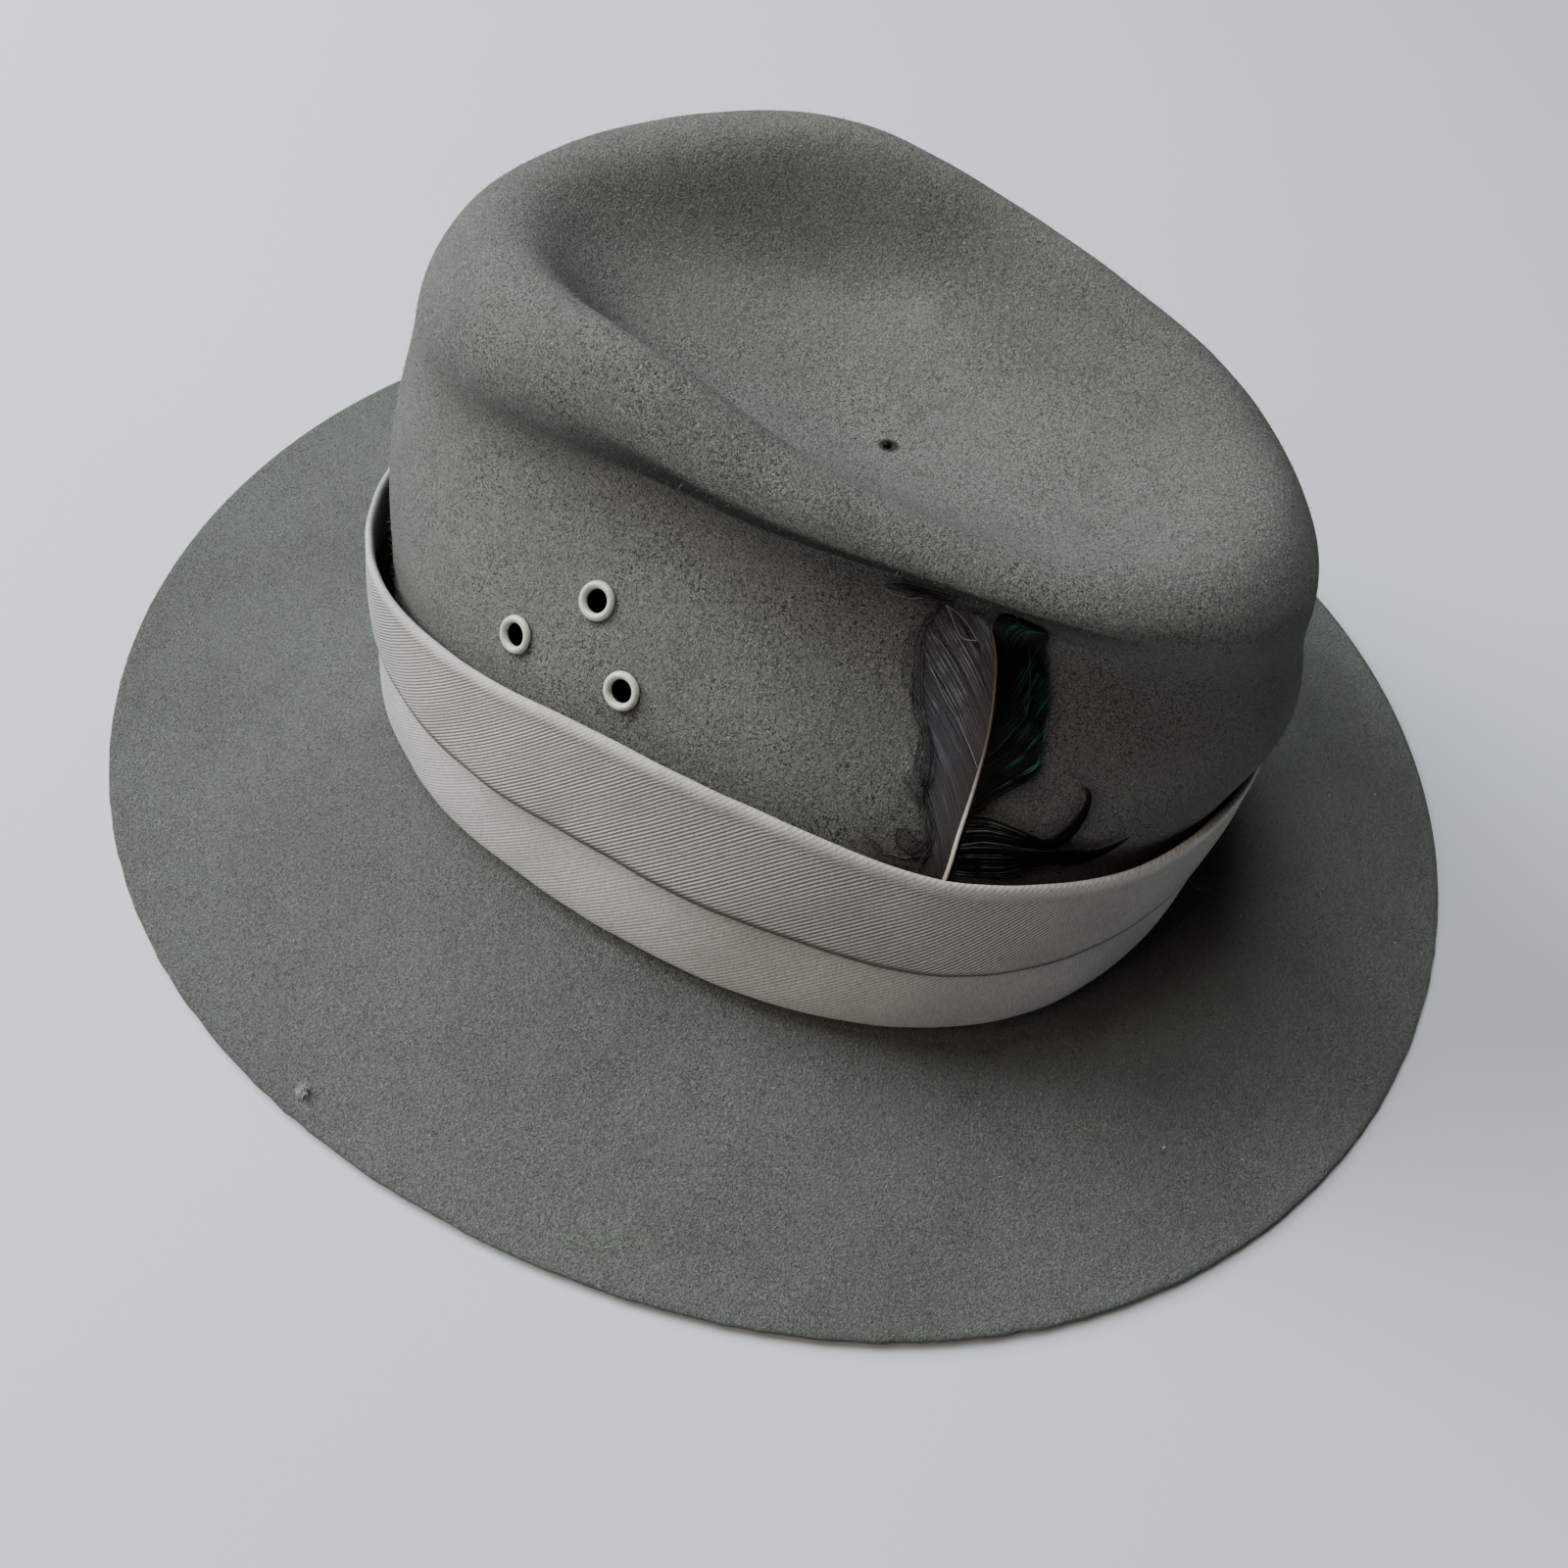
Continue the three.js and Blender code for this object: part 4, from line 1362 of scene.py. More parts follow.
@dataclass
class VentRing:
    """A rolled ring: a domed flange outside the felt, a barrel through it and a washer inside."""

    shape: FeltShape
    vent: Vent
    steps: int = 72
    # The enamel covers what stands higher over the felt than this; what lies lower gets near-black painted
    # shade.
    painted_from: float = 0.2
    # (radius, height over the felt) up the bore, out over the flange, back down the barrel and round the
    # washer, in millimetres.
    profile: tuple[tuple[float, float], ...] = (
        (2.36, -2.4), (2.36, -0.20), (2.32, 0.25), (2.34, 0.50), (2.46, 0.82), (2.68, 1.10), (2.96, 1.26),
        (3.25, 1.25), (3.52, 1.10), (3.74, 0.84), (3.87, 0.55), (3.90, 0.28), (3.80, 0.10), (3.55, 0.04),
        (2.85, 0.05), (2.80, -2.2), (2.85, -2.35), (3.40, -2.40), (3.62, -2.52), (3.66, -2.70), (3.50, -2.88),
        (3.0, -2.95), (2.50, -2.80),
    )

    def build(self, material: bpy.types.Material) -> bpy.types.Object:
        """Builds the ring and dresses it.

        Args:
            material: the painted metal.

        Returns:
            The piece.
        """
        point, normal = self.shape.wall(np.array(self.vent.at), np.array(self.vent.height))
        turn = np.array(Vector(normal).to_track_quat("Z", "Y").to_matrix())
        angles = np.radians(azimuths_round(self.steps))
        outline = np.array(self.profile)
        rings = np.stack([outline[:, :1] * np.cos(angles), outline[:, :1] * np.sin(angles),
                          outline[:, 1:] + 0.0 * angles], -1)
        points = rings.reshape(-1, 3) @ turn.T + point
        faces = ring_faces(len(outline), self.steps, closed=True).tolist()
        ring = mesh_object(self.vent.node.replace("eyelet", "vent_ring"), points, faces, outward=True)
        # Share 1 is enamel, 0 is the near-black painted shade down the hole.
        painted = (outline[:, 1] > self.painted_from).astype(float)
        set_values(ring.data, "share", np.repeat(painted, self.steps))
        return settle(ring, material, (self.vent.node,))


# ---------------------------------------------------------------------------------------------------------
# The feather and loose strands


@dataclass(frozen=True)
class Split:
    """A place where neighbouring barbs part, as a V that opens towards their tips, or as a leaf.

    The place counts the bundle's rows from 0 and the start is a share of a barb's length. The gap is in
    degrees of azimuth and dies away over the spread, which is in rows too.
    """

    place: float
    start: float
    gap: float
    spread: float
    leaf: bool = False

    def push(self, places: np.ndarray, share: np.ndarray) -> np.ndarray:
        """How far to push each barb sideways.

        Args:
            places: each barb's place in its bundle's rows.
            share: places along a barb, from root to tip.

        Returns:
            Degrees of azimuth, an array (barbs, places along).
        """
        away = (places - self.place)[:, None]
        open_share = np.clip((share - self.start) / (1 - self.start), 0, 1)
        width = np.sin(np.pi * open_share) if self.leaf else open_share
        return np.sign(away) * self.gap * width * np.exp(-np.abs(away) / self.spread)


@dataclass(frozen=True)
class Bundle:
    """Barbs between rows of places on the crown's wall, each row (azimuth, height) from root to tip.

    Width and lift are in millimetres, and lift is given at the root and at the tip. Jitter bends a barb and
    curl crimps it, by about so many degrees and millimetres. Stagger is how much of its length a barb may
    lack.
    """

    rows: tuple[tuple[tuple[float, float], ...], ...]
    count: int
    width: float
    lift: tuple[float, float] = (0.9, 1.2)
    jitter: float = 0.12
    stagger: float = 0.0
    lowest_tint: float = 0.0
    splits: tuple[Split, ...] = ()
    curl: float = 0.0


class StrandSet:
    """Guides for barbs and hairs, swept to flat or round strands by geometry nodes."""

    # How many places along a barb bend it and crimp it, and the share of the bend that its root takes.
    bend_places: int = 3
    crimp_places: int = 10
    root_bend: float = 0.3
    # The crimp in azimuth and height, as shares of a bundle's curl.
    crimp: tuple[float, float] = (1, 1.6)
    # How far above or below its bundle a barb may lie, in millimetres.
    loose: float = 0.12
    # A hair's width at its end, as a share of its width at its root.
    hair_end: float = 0.45

    def __init__(self, shape: FeltShape, seed: int) -> None:
        """Starts an empty set.

        Args:
            shape: the felt that the barbs lie on.
            seed: makes the same barbs every time.
        """
        self.shape = shape
        self.random = np.random.default_rng(seed)
        self.points: list[np.ndarray] = []
        self.facing: list[np.ndarray] = []
        self.width: list[np.ndarray] = []
        self.share: list[np.ndarray] = []
        self.tint: list[np.ndarray] = []
        self.row: list[np.ndarray] = []

    def add(self, points: np.ndarray, facing: np.ndarray, width: np.ndarray, tint: np.ndarray,
            row: np.ndarray) -> None:
        """Adds strands.

        Args:
            points: (strands, samples, 3) in millimetres.
            facing: the flat side's direction at each point.
            width: half widths in millimetres at each point.
            tint: one value for each strand.
            row: each strand's place in its bundle, from 0 to 1.
        """
        count, samples = points.shape[:2]
        self.points.append(points)
        self.facing.append(facing)
        self.width.append(np.broadcast_to(width, (count, samples)))
        self.share.append(np.broadcast_to(np.linspace(0, 1, samples), (count, samples)))
        self.tint.append(np.broadcast_to(tint[:, None], (count, samples)))
        self.row.append(np.broadcast_to(row[:, None], (count, samples)))

    def add_bundle(self, bundle: Bundle, samples: int = 15, taper: float = 0.7) -> None:
        """Adds the barbs of a bundle that lies on the crown's wall.

        Args:
            bundle: the rows and sizes.
            samples: points on each barb.
            taper: how much of its width a barb loses at its tip.
        """
        rows = np.array(bundle.rows, float)
        places = np.linspace(0, len(rows) - 1, bundle.count)
        first = np.minimum(places.astype(int), max(len(rows) - 2, 0))
        part = (places - first)[:, None, None]
        knots = rows[first] * (1 - part) + rows[np.minimum(first + 1, len(rows) - 1)] * part
        share = np.linspace(0, 1, samples)
        spots = along(knots, samples)
        short = 1 - self.random.uniform(0, 1, bundle.count) ** 2 * bundle.stagger
        reach = (share[None, :] * short[:, None]) * (samples - 1)
        index = np.minimum(reach.astype(int), samples - 2)
        rest = (reach - index)[..., None]
        rows_index = np.arange(bundle.count)[:, None]
        spots = spots[rows_index, index] * (1 - rest) + spots[rows_index, index + 1] * rest
        sway = self.random.normal(0, bundle.jitter, (bundle.count, self.bend_places, 2))
        sway[:, 0] *= self.root_bend
        curl = self.random.normal(0, bundle.curl, (bundle.count, self.crimp_places, 2)) * self.crimp
        spots = spots + along(sway, samples) + along(curl, samples)
        for split in bundle.splits:
            spots[..., 0] += split.push(places, share)
        low, high = bundle.lift
        astray = self.random.uniform(-self.loose, self.loose, (bundle.count, 1))
        lift = low + (high - low) * share[None, :] + astray
        ground, normals = self.shape.wall(spots[..., 0], spots[..., 1])
        points = ground + normals * lift[..., None]
        width = bundle.width / 2 * (1 - taper * share**4)[None, :] * np.ones((bundle.count, 1))
        tint = self.random.uniform(bundle.lowest_tint, 1, bundle.count)
        self.add(points, normals, width, tint, places / max(len(rows) - 1, 1))

    def add_hair(self, route: tuple[tuple[float, float, float], ...], width: float,
                 samples: int = 24) -> None:
        """Adds one round strand.

        Args:
            route: its points in millimetres.
            width: its width at its root, in millimetres.
            samples: points on it.
        """
        points = along(np.array([route], float), samples)
        facing = np.broadcast_to([0.0, 0.0, 1.0], points.shape)
        thinning = np.linspace(1, self.hair_end, samples)[None, :]
        self.add(points, facing, width / 2 * thinning, np.array([0.7]), np.array([0.5]))

    def guides(self, name: str) -> bpy.types.Object:
        """Makes the guides as a mesh of edges, with the attributes that the sweep reads.

        Args:
            name: the piece's name.

        Returns:
            The object that carries them.
        """
        edges, start = [], 0
        for block in self.points:
            count, samples = block.shape[:2]
            first = start + (np.arange(count)[:, None] * samples + np.arange(samples - 1)[None, :]).ravel()
            edges.append(np.stack([first, first + 1], -1))
            start += count * samples
        flat = np.concatenate([block.reshape(-1, 3) for block in self.points])
        mesh = bpy.data.meshes.new(name)
        mesh.from_pydata((flat * MM).tolist(), np.concatenate(edges).tolist(), [])
        values = {"half_width": self.width, "share": self.share, "tint": self.tint, "row": self.row}
        for label, blocks in values.items():
            set_values(mesh, label, np.concatenate([b.ravel() for b in blocks]))
        facing = np.concatenate([b.reshape(-1, 3) for b in self.facing])
        layer = mesh.attributes.new("facing", "FLOAT_VECTOR", "POINT")
        layer.data.foreach_set("vector", facing.ravel())
        return link(name, mesh)

    def tree(self) -> GeometryTree:
        """Makes the tree that sweeps a flattened outline along the guides.

        Returns:
            The tree.
        """
        tree = GeometryTree("sweep_strands")
        given = tree.inputs({"Sides": "NodeSocketInt", "Flatness": "NodeSocketFloat",
                             "Material": "NodeSocketMaterial"}).outputs
        facing = tree.add("GeometryNodeInputNamedAttribute", {"Name": "facing"}, data_type="FLOAT_VECTOR")
        width = tree.add("GeometryNodeInputNamedAttribute", {"Name": "half_width"}, data_type="FLOAT")
        curves = tree.add("GeometryNodeMeshToCurve", {"Mesh": given["Geometry"]})
        faced = tree.add("GeometryNodeSetCurveNormal", {
            "Curve": curves.outputs[0], "Normal": facing.outputs[0]}, mode="FREE")
        outline = tree.add("GeometryNodeCurvePrimitiveCircle", {"Resolution": given["Sides"], "Radius": MM})
        stretch = tree.add("ShaderNodeCombineXYZ", {0: 1.0, 1: given["Flatness"], 2: 1.0})
        flat = tree.add("GeometryNodeTransform", {
            "Geometry": outline.outputs[0], "Scale": stretch.outputs[0]})
        swept = tree.add("GeometryNodeCurveToMesh", {
            "Curve": faced.outputs[0], "Profile Curve": flat.outputs[0], "Scale": width.outputs[0],
            "Fill Caps": True})
        smooth = tree.add("GeometryNodeSetShadeSmooth", {"Geometry": swept.outputs[0]})
        tree.finish(smooth.outputs[0], given["Material"])
        return tree

    def build(self, name: str, material: bpy.types.Material, slot: Slot, nodes: tuple[str, ...] = (),
              sides: int = 4, flatness: float = 0.28) -> bpy.types.Object:
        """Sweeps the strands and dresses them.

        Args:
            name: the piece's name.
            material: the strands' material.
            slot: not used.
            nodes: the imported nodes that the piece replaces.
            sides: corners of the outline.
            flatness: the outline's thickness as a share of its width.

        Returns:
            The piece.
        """
        values = {"Sides": sides, "Flatness": flatness, "Material": material}
        return settle(self.tree().run(self.guides(name), values), None, nodes)


# The tables give places on the crown's wall as (azimuth, height).
# Root, middle and tip of the grey vane's barbs, in rows from the band up.
GREY_ROWS = (
    ((132.6, 56.5), (131.9, 60.5), (131.2, 64.5)),
    ((132.9, 57.5), (132.3, 62.7), (131.9, 68.0)),
    ((133.1, 59.0), (132.9, 65.2), (132.3, 71.5)),
    ((133.5, 61.5), (132.9, 68.7), (131.9, 76.0)),
    ((134.0, 65.0), (133.1, 72.5), (131.4, 80.0)),
    ((135.0, 69.5), (134.1, 77.0), (132.4, 84.5)),
    ((136.0, 73.3), (134.9, 81.2), (132.8, 89.0)),
    ((137.2, 77.4), (135.3, 85.7), (131.9, 94.0)),
    ((138.5, 81.7), (136.4, 90.0), (132.3, 98.2)),
    ((139.9, 85.8), (137.9, 94.2), (133.5, 102.6)),
    ((141.4, 90.3), (139.3, 98.2), (135.4, 106.0)),
    ((142.6, 94.1), (140.9, 101.2), (137.8, 108.0)),
    ((143.4, 98.0), (142.4, 103.6), (140.4, 108.8)),
    ((143.9, 101.5), (143.5, 105.0), (142.6, 108.5)),
)
# The same of the green vane's barbs.
GREEN_ROWS = (
    ((137.9, 77.0), (141.8, 80.4), (145.8, 83.0)),
    ((138.2, 78.5), (142.6, 82.2), (147.0, 85.2)),
    ((138.8, 80.5), (143.4, 84.0), (147.5, 88.5)),
    ((139.4, 82.8), (144.2, 86.2), (148.5, 92.0)),
    ((140.0, 84.6), (144.8, 88.6), (149.5, 95.2)),
    ((140.6, 86.6), (145.3, 91.4), (150.0, 98.5)),
    ((141.3, 89.0), (145.8, 94.2), (150.2, 102.0)),
    ((142.0, 91.8), (146.8, 98.8), (150.3, 107.0)),
    ((142.8, 94.6), (147.0, 102.5), (149.7, 109.5)),
    ((143.4, 97.6), (146.6, 105.0), (148.6, 111.0)),
    ((143.8, 100.5), (146.0, 107.0), (147.2, 112.5)),
    ((143.9, 102.5), (145.2, 108.5), (145.8, 113.5)),
    ((143.9, 104.5), (144.4, 110.0), (144.6, 114.0)),
)
SHAFT_ROUTE = (
    (132.6, 56), (134.3, 65), (135.9, 73.3), (138.4, 81.7), (141.2, 90.3), (143.3, 98.5), (143.9, 103),
    (143.7, 107.5),
)
# The highest and the lowest barb of each tuft.
UPPER_TUFT = (
    ((137.5, 76.7), (140.1, 76.3), (142.9, 74.5), (145.0, 72.8), (146.6, 71.6), (148.4, 73.2), (150.2, 75.6),
     (151.3, 77.7), (151.7, 80.0), (151.0, 81.4)),
    ((136.1, 71.5), (139.0, 72.0), (142.6, 71.0), (145.4, 69.8), (147.6, 69.4), (149.4, 71.0), (151.0, 74.4),
     (151.9, 77.2), (152.2, 79.8), (151.8, 81.2)),
)
LOWER_TUFT = (
    ((136.0, 71.4), (138.0, 71.6), (141.0, 71.1), (144.0, 69.8), (146.5, 69.0), (149.5, 68.6), (152.5, 67.2),
     (155.0, 67.5), (156.6, 68.2)),
    ((134.8, 66.0), (137.8, 65.3), (141.2, 64.9), (144.2, 66.0), (146.6, 66.2), (149.6, 64.8), (152.4, 65.0),
     (154.6, 66.2), (156.4, 67.8)),
)
# The tip of another barb cluster that shows under the roll, above the grey vane.
HIGH_TIP = (
    ((138.6, 108.6), (135.4, 107.9), (131.7, 107.7), (127.6, 108.4)),
    ((138.2, 111.4), (135.0, 111.0), (131.4, 110.3), (127.2, 108.9)),
)
# Single loose barbs, from root to tip.
GREY_WISPS = (
    ((136.8, 109.8), (135.2, 106.7), (133.2, 104.3), (130.5, 101.3), (128.1, 98.7)),
    ((133.2, 69.5), (132.2, 71.2), (130.5, 72.6), (129.0, 74.2), (128.1, 73.9), (128.1, 71.7), (129.5, 70.0),
     (131.2, 69.0)),
    ((132.6, 69.4), (131.0, 69.4), (129.0, 68.7), (126.7, 69.4), (124.9, 71.9), (123.8, 72.8)),
    ((132.6, 76.6), (131.4, 78.9), (130.1, 80.3), (129.1, 81.7), (129.1, 82.8)),
    ((132.4, 92.0), (130.9, 94.6), (129.8, 96.6), (130.4, 98.3)),
    ((131.4, 94.6), (131.0, 91.3), (132.0, 89.2), (130.9, 85.0), (131.0, 82.1), (132.2, 81.0)),
    ((132.8, 68.6), (131.9, 71.9), (130.6, 71.0), (130.0, 69.6), (131.0, 68.0)),
    ((132.2, 87.5), (131.4, 86.2), (131.2, 84.0), (131.7, 82.2), (132.4, 80.4)),
)
GREEN_WISPS = (
    ((145.6, 83.2), (146.9, 84.0), (147.1, 82.3), (146.9, 80.9), (146.2, 79.8), (144.9, 79.0), (143.5, 79.1),
     (141.2, 79.6), (138.6, 77.9)),
    ((139.4, 64.2), (142.7, 63.7), (144.1, 64.6), (146.1, 64.9), (147.6, 64.1), (148.6, 62.5), (149.0, 60.0)),
    ((150.6, 72.6), (151.7, 77.2), (152.1, 79.7), (152.0, 81.0)),
    ((149.9, 75.0), (151.0, 78.4), (151.2, 80.6), (150.6, 82.0)),
)
# The curly dark fringe along the grey vane's edge: its outer and its inner side.
FRINGE = (
    ((131.0, 67.0), (131.9, 71.3), (131.2, 75.9), (130.6, 79.5), (131.6, 83.4), (131.9, 87.5), (131.6, 91.5),
     (130.9, 95.0), (131.6, 98.8), (132.4, 102.3), (133.8, 105.4), (136.6, 108.4)),
    ((132.3, 68.5), (133.1, 72.3), (132.6, 76.4), (132.0, 79.5), (132.9, 83.4), (133.3, 87.5), (132.9, 91.5),
     (132.4, 95.0), (132.9, 98.8), (133.9, 102.3), (135.2, 104.8), (137.2, 107.2)),
)
# Brighter lines along the green vane, strands that carry its painted green highlight, and the pale edges of
# the leaf-shaped opening and of the splits.
GREEN_RIDGES = (
    ((140.5, 86.4), (142.8, 88.8), (144.8, 91.2), (146.3, 93.2), (147.5, 97.6), (148.2, 104.3)),
    ((140.3, 84.3), (143.6, 83.4), (146.0, 85.1), (147.2, 87.9), (148.9, 93.5)),
)
LEAF_CURL = (
    ((137.7, 109.0), (138.3, 107.6), (139.0, 104.8), (139.8, 103.6), (141.6, 103.8)),
    ((137.7, 109.0), (139.3, 108.1), (140.7, 106.1), (141.6, 103.8)),
)
PALE_LINES = (
    ((139.0, 84.6), (138.6, 86.9), (137.8, 89.8), (137.2, 91.8), (136.0, 94.0), (135.0, 96.8),
     (133.5, 101.1)),
    ((138.5, 98.4), (137.6, 100.3), (136.3, 102.2), (134.9, 103.4)),
    ((127.6, 108.4), (129.7, 107.8), (132.3, 108.0), (134.3, 108.9)),
)


@dataclass
class Feather:
    """A feather on the crown's wall: its quill, a grey vane, a dark green vane and two curled tufts."""

    shape: FeltShape
    quill_width: float = 1.5
    # How much of its width the quill loses, and how high over the felt its ends lie in millimetres.
    quill_taper: float = 0.78
    quill_lift: tuple[float, float] = (1.25, 1.5)
    quill_samples: int = 60
    grey_splits: tuple[Split, ...] = (
        Split(8.65, 0.25, 0.30, 0.35), Split(9.9, 0.35, 0.24, 0.25), Split(6.2, 0.5, 0.35, 0.3),
        Split(11.5, 0.42, 0.62, 0.45, leaf=True), Split(4.4, 0.6, 0.35, 0.3),
    )
    green_splits: tuple[Split, ...] = (
        Split(4.3, 0.05, 0.25, 0.4), Split(2.1, 0.3, 0.25, 0.3), Split(7.4, 0.4, 0.2, 0.3),
    )

    def quill(self) -> None:
        """Builds the tapering shaft."""
        strands = StrandSet(self.shape, 31)
        spots = along(np.array([SHAFT_ROUTE], float), self.quill_samples)
        ground, normals = self.shape.wall(spots[..., 0], spots[..., 1])
        share = np.linspace(0, 1, self.quill_samples)
        width = self.quill_width / 2 * (1 - self.quill_taper * share**0.8)
        lift = np.linspace(*self.quill_lift, self.quill_samples)
        strands.add(ground + normals * lift[None, :, None], normals, width, np.array([1.0]), np.array([0.5]))
        strands.build("quill", QuillFinish().material(), Slot.QUILL, ("feather_shaft",), sides=14,
                      flatness=0.75)

    def grey_vane(self) -> None:
        """Builds the grey-brown vane with its splits and a backing."""
        # The blue-grey tip colour is partly the vane's own colour and partly painted sheen, and the gleam is
        # a painted highlight.
        finish = BarbFinish("grey_barbs", root=(0.150, 0.124, 0.114, 1), tip=(0.150, 0.152, 0.168, 1),
                            gleam=(0.62, 0.64, 0.72, 1), glow=(0.2, 0.55), gleam_share=0.9, dark_share=0.5)
        vane = Bundle(GREY_ROWS, 230, 0.42, (0.95, 1.15), jitter=0.05, stagger=0.04, splits=self.grey_splits)
        backing = Bundle(GREY_ROWS, 60, 0.5, (0.7, 0.75), jitter=0.1, stagger=0.1, lowest_tint=0.3)
        strands = StrandSet(self.shape, 32)
        strands.add_bundle(vane)
        strands.add_bundle(backing)
        strands.build("grey_barbs", finish.material(), Slot.GREY, ("feather_grey_vane",))

    def down(self) -> None:
        """Builds the dark fringe, the cluster under the roll and the downy wisps."""
        finish = BarbFinish("downy_barbs", root=(0.020, 0.016, 0.014, 1), tip=(0.016, 0.013, 0.012, 1),
                            gleam=(0.17, 0.16, 0.15, 1), streaked_rows=(-1.0, 0.0))
        strands = StrandSet(self.shape, 37)
        fringe = Bundle(FRINGE, 10, 0.42, (1.3, 1.5), jitter=0.16, stagger=0.3, curl=0.42)
        strands.add_bundle(fringe, samples=60, taper=0.3)
        strands.add_bundle(Bundle(HIGH_TIP, 12, 0.34, (0.8, 0.8), jitter=0.12, stagger=0.12))
        for wisp in GREY_WISPS:
            barbs = Bundle((wisp, wisp), 3, 0.44, (1.0, 0.9), jitter=0.25, curl=0.12)
            strands.add_bundle(barbs, samples=36, taper=0.6)
        strands.build("downy_barbs", finish.material(), Slot.GREY)

    def pale_edges(self) -> None:
        """Builds the pale barbs that line the splits and the curled opening near the top."""
        finish = BarbFinish("pale_barbs", root=(0.34, 0.32, 0.29, 1), tip=(0.42, 0.40, 0.375, 1),
                            gleam=(0.5, 0.5, 0.5, 1))
        strands = StrandSet(self.shape, 33)
        for line in LEAF_CURL:
            barbs = Bundle((line, line), 2, 0.3, (1.5, 1.6), jitter=0.03)
            strands.add_bundle(barbs, samples=22, taper=0.5)
        for line in PALE_LINES:
            barb = Bundle((line, line), 1, 0.26, (1.4, 1.5), jitter=0.02)
            strands.add_bundle(barb, samples=22, taper=0.5)
        strands.build("pale_barbs", finish.material(), Slot.GREY, sides=5, flatness=0.5)

    def green_vane(self) -> None:
        """Builds the dark vane with its green gloss, painted into the colour as a green sheen, a backing,
        ridges and wisps.
        """
        finish = BarbFinish("green_barbs", root=(0.004, 0.005, 0.004, 1), tip=(0.004, 0.007, 0.006, 1),
                            gleam=(0.028, 0.235, 0.122, 1), dark=(0.002, 0.002, 0.002, 1),
                            streaked_rows=(-0.5, 0.1), glow=(0.25, 0.6), gleam_share=0.9, specular=0.2,
                            sheen=0.0, roughness=0.36)
        vane = Bundle(GREEN_ROWS, 200, 0.38, (0.9, 1.25), jitter=0.05, splits=self.green_splits, curl=0.02)
        backing = Bundle(GREEN_ROWS, 90, 0.9, (0.65, 0.7), jitter=0.04, stagger=0.04)
        strands = StrandSet(self.shape, 34)
        strands.add_bundle(vane, samples=24)
        strands.add_bundle(backing)
        for ridge in GREEN_RIDGES:
            line = Bundle((ridge, ridge), 3, 0.3, (1.5, 1.6), jitter=0.10, lowest_tint=0.7, curl=0.05)
            strands.add_bundle(line, samples=30)
        for wisp in GREEN_WISPS:
            barb = Bundle((wisp, wisp), 1, 0.24, (0.8, 0.7), jitter=0.05)
            strands.add_bundle(barb, samples=30, taper=0.4)
        strands.build("green_barbs", finish.material(), Slot.GREEN, ("feather_green_vane",))

    def tufts(self) -> None:
        """Builds the two curled tufts at the feather's foot."""
        # The tufts' gleam is a painted highlight on the barbs near their roots.
        finish = BarbFinish("tuft_barbs", root=(0.008, 0.010, 0.009, 1), tip=(0.003, 0.005, 0.004, 1),
                            gleam=(0.29, 0.32, 0.29, 1), dark=(0.003, 0.003, 0.003, 1),
                            streaked_rows=(-1.0, 0.0), fade=(0.1, 0.42), gleam_share=0.9, specular=0.2,
                            sheen=0.0, roughness=0.34).material()
        upper = StrandSet(self.shape, 35)
        barbs = Bundle(UPPER_TUFT, 46, 0.36, (1.2, 1.0), jitter=0.07, stagger=0.10)
        upper.add_bundle(barbs, samples=30)
        upper.build("upper_tuft_barbs", finish, Slot.GREEN, ("feather_upper_tuft",))
        lower = StrandSet(self.shape, 36)
        barbs = Bundle(LOWER_TUFT, 56, 0.38, (1.5, 0.9), jitter=0.07, stagger=0.12)
        lower.add_bundle(barbs, samples=30)
        lower.build("lower_tuft_barbs", finish, Slot.GREEN, ("feather_lower_tuft",))

    def build(self) -> None:
        """Builds all parts of the feather."""
        self.quill()
        self.grey_vane()
        self.down()
        self.pale_edges()
        self.green_vane()
        self.tufts()


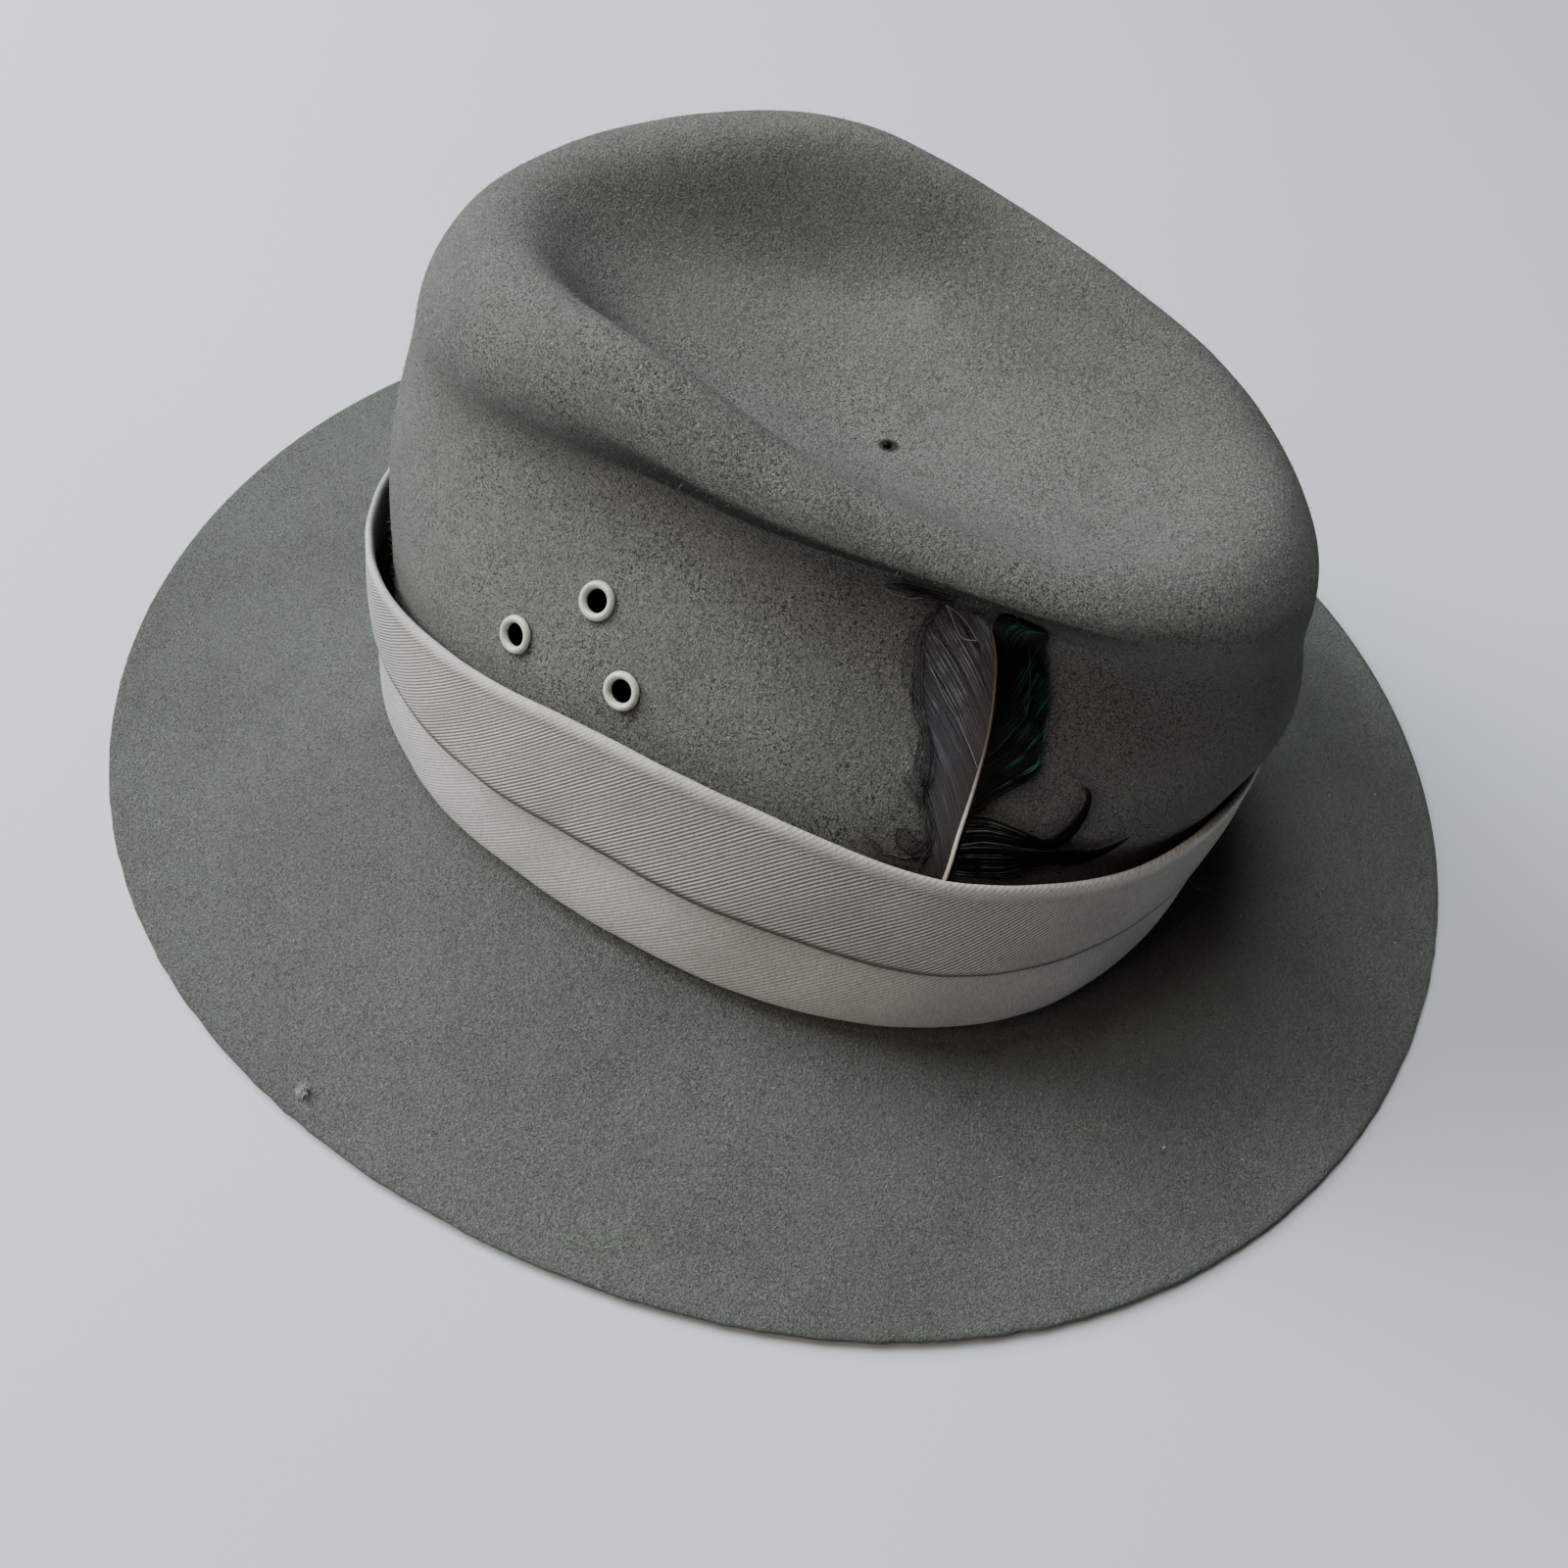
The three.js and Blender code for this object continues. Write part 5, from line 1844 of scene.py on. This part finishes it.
@dataclass
class Strays:
    """Pale hairs on the band and brim, bits of lint and the pilled fluff at the brim's edge."""

    shape: FeltShape
    hair_width: float = 0.14
    lint_width: float = 0.05
    lint_knots: int = 4
    lint_samples: int = 9
    # Each hair's points in millimetres.
    hairs: tuple[tuple[tuple[float, float, float], ...], ...] = (
        ((31.6, 107.4, 55.6), (28.4, 108.6, 50.0), (24.6, 110.6, 44.4), (21.5, 113.2, 41.6)),
        ((141.8, 30.1, 4.9), (141.3, 34.8, 5.3), (139.0, 39.0, 5.4), (135.8, 43.4, 5.5), (134.6, 47.6, 5.2)),
        ((67.9, 109.6, 8.3), (67.8, 112.6, 8.5), (66.7, 115.4, 7.7)),
    )
    # (x, y, z, radius, fibres) of each bit of lint. The third is the pill.
    lint: tuple[tuple[float, float, float, float, int], ...] = (
        (-2.7, -46.5, 114.8, 0.55, 9), (-10.5, -34.1, 110.1, 0.6, 9), (144.0, -34.9, 4.7, 1.5, 46),
        (112.0, 38.0, 9.6, 0.5, 7), (128.0, -62.0, 5.3, 0.45, 6), (62.0, 128.0, 6.6, 0.45, 6),
    )

    def build(self) -> None:
        """Builds the hairs and the lint."""
        hair = FibreFinish("stray_hair", (0.16, 0.11, 0.075, 1), (0.34, 0.26, 0.18, 1), 0.4)
        strands = StrandSet(self.shape, 41)
        for route in self.hairs:
            strands.add_hair(route, self.hair_width)
        strands.build("stray_hairs", hair.material(), Slot.FELT, sides=5, flatness=1.0)
        fluff = FibreFinish("lint", (0.33, 0.34, 0.31, 1), (0.62, 0.62, 0.57, 1))
        bits = StrandSet(self.shape, 42)
        for x, y, z, radius, count in self.lint:
            ends = bits.random.normal(0, radius / 2, (count, self.lint_knots, 3)) + (x, y, z)
            ends[..., 2] = np.maximum(ends[..., 2], z - radius / 2)
            points = along(ends, self.lint_samples)
            facing = np.broadcast_to([0.0, 0.0, 1.0], points.shape)
            width = np.array([self.lint_width])
            bits.add(points, facing, width, np.full(count, 0.7), np.full(count, 0.5))
        bits.build("lint", fluff.material(), Slot.FELT, sides=3, flatness=1.0)


# ---------------------------------------------------------------------------------------------------------
# The stage


@dataclass(frozen=True)
class Viewpoint:
    """A camera that looks down on the hat from its left and back."""

    place: tuple[float, float, float] = (0.222389, 0.100728, 0.305286)
    azimuth: float = 113.66
    elevation: float = 53.73
    roll: float = 6.79
    lens: float = 34.67
    sensor: float = 36.0
    clip_start: float = 0.01

    def build(self) -> None:
        """Makes the scene's camera."""
        turn = math.radians(self.roll)
        back = direction(self.azimuth, self.elevation)
        level = direction(self.azimuth + 90, 0)
        right = level * math.cos(turn) + back.cross(level) * math.sin(turn)
        rotation = Matrix((right, back.cross(right), back)).transposed().to_4x4()
        data = bpy.data.cameras.new("camera")
        data.lens, data.sensor_width = self.lens, self.sensor
        data.clip_start = self.clip_start
        camera = bpy.data.objects.new("camera", data)
        camera.matrix_world = Matrix.Translation(self.place) @ rotation
        bpy.context.scene.collection.objects.link(camera)
        bpy.context.scene.camera = camera


HAT_MIDDLE = Vector((0, 0, 0.06))


@dataclass(frozen=True)
class Softbox:
    """A soft lamp, placed by azimuth, elevation and distance from the hat's middle.

    Distance and size are in metres, the power is in watts.
    """

    name: str
    azimuth: float
    elevation: float
    distance: float
    size: float
    power: float
    colour: tuple[float, float, float]

    def build(self) -> None:
        """Makes the lamp and aims it at the hat."""
        back = direction(self.azimuth, self.elevation)
        data = bpy.data.lights.new(self.name, "AREA")
        data.shape = "DISK"
        data.size, data.energy, data.color = self.size, self.power, self.colour
        lamp = bpy.data.objects.new(self.name, data)
        lamp.location = back * self.distance + HAT_MIDDLE
        lamp.rotation_euler = back.to_track_quat("Z", "Y").to_euler()
        bpy.context.scene.collection.objects.link(lamp)


# Name, azimuth, elevation, distance, size, power and colour.
SOFTBOXES = (
    Softbox("window", 9, 35, 1.7, 1.0, 46, (0.87, 0.96, 1.0)),
    Softbox("skylight", 340, 72, 1.7, 0.9, 26, (0.84, 0.95, 1.0)),
    Softbox("lamp", 60, 52, 1.7, 0.9, 9.5, (1.0, 0.84, 0.72)),
)


@dataclass(frozen=True)
class Stage:
    """A plain pale floor, the soft lamps and a faint even light from all round.

    Lengths are metres, apart from the size of the floor's patches, which is in millimetres.
    """

    half_size: float = 4.0
    floor_height: float = -0.0002
    floor: Colour = (0.60, 0.62, 0.64, 1)
    floor_patches: Colour = (0.5, 0.5, 0.5, 1)
    patch_size: float = 220
    patch_share: float = 0.08
    ambient: Colour = (0.72, 0.80, 0.90, 1)
    ambient_strength: float = 0.03

    def build(self) -> None:
        """Makes the floor, the lamps and the world."""
        r, z = self.half_size, self.floor_height
        mesh = bpy.data.meshes.new("floor")
        mesh.from_pydata([(-r, -r, z), (r, -r, z), (r, r, z), (-r, r, z)], [], [(0, 1, 2, 3)])
        floor = link("floor", mesh)
        paper = Surface("floor_paper", Roughness=0.9)
        tone = paper.ramp(paper.noise(self.patch_size, 2.0), 0.3, 0.7, 0.0, self.patch_share)
        paper.set("Base Color", paper.mix(tone, self.floor, self.floor_patches))
        floor.data.materials.append(paper.material)
        for softbox in SOFTBOXES:
            softbox.build()
        world = bpy.data.worlds.new("room")
        world.use_nodes = True
        background = world.node_tree.nodes["Background"]
        background.inputs["Color"].default_value = self.ambient
        background.inputs["Strength"].default_value = self.ambient_strength
        bpy.context.scene.world = world


def main() -> None:
    """Builds the hat in order."""
    logging.basicConfig(level=logging.INFO, format="%(name)s: %(message)s")
    Viewpoint().build()
    Stage().build()
    shape = FeltShape()
    FeltHood(shape).build(FeltFinish())
    fur = FibreFinish("nap_fibres", (0.09, 0.086, 0.074, 1), (0.27, 0.265, 0.235, 1))
    Nap(shape).build(fur)
    TwillBand(shape).build(TwillFinish())
    enamel = EnamelFinish().material()
    for vent in VENTS:
        VentRing(shape, vent).build(enamel)
    Feather(shape).build()
    Strays(shape).build()


if __name__ == "__main__":
    main()
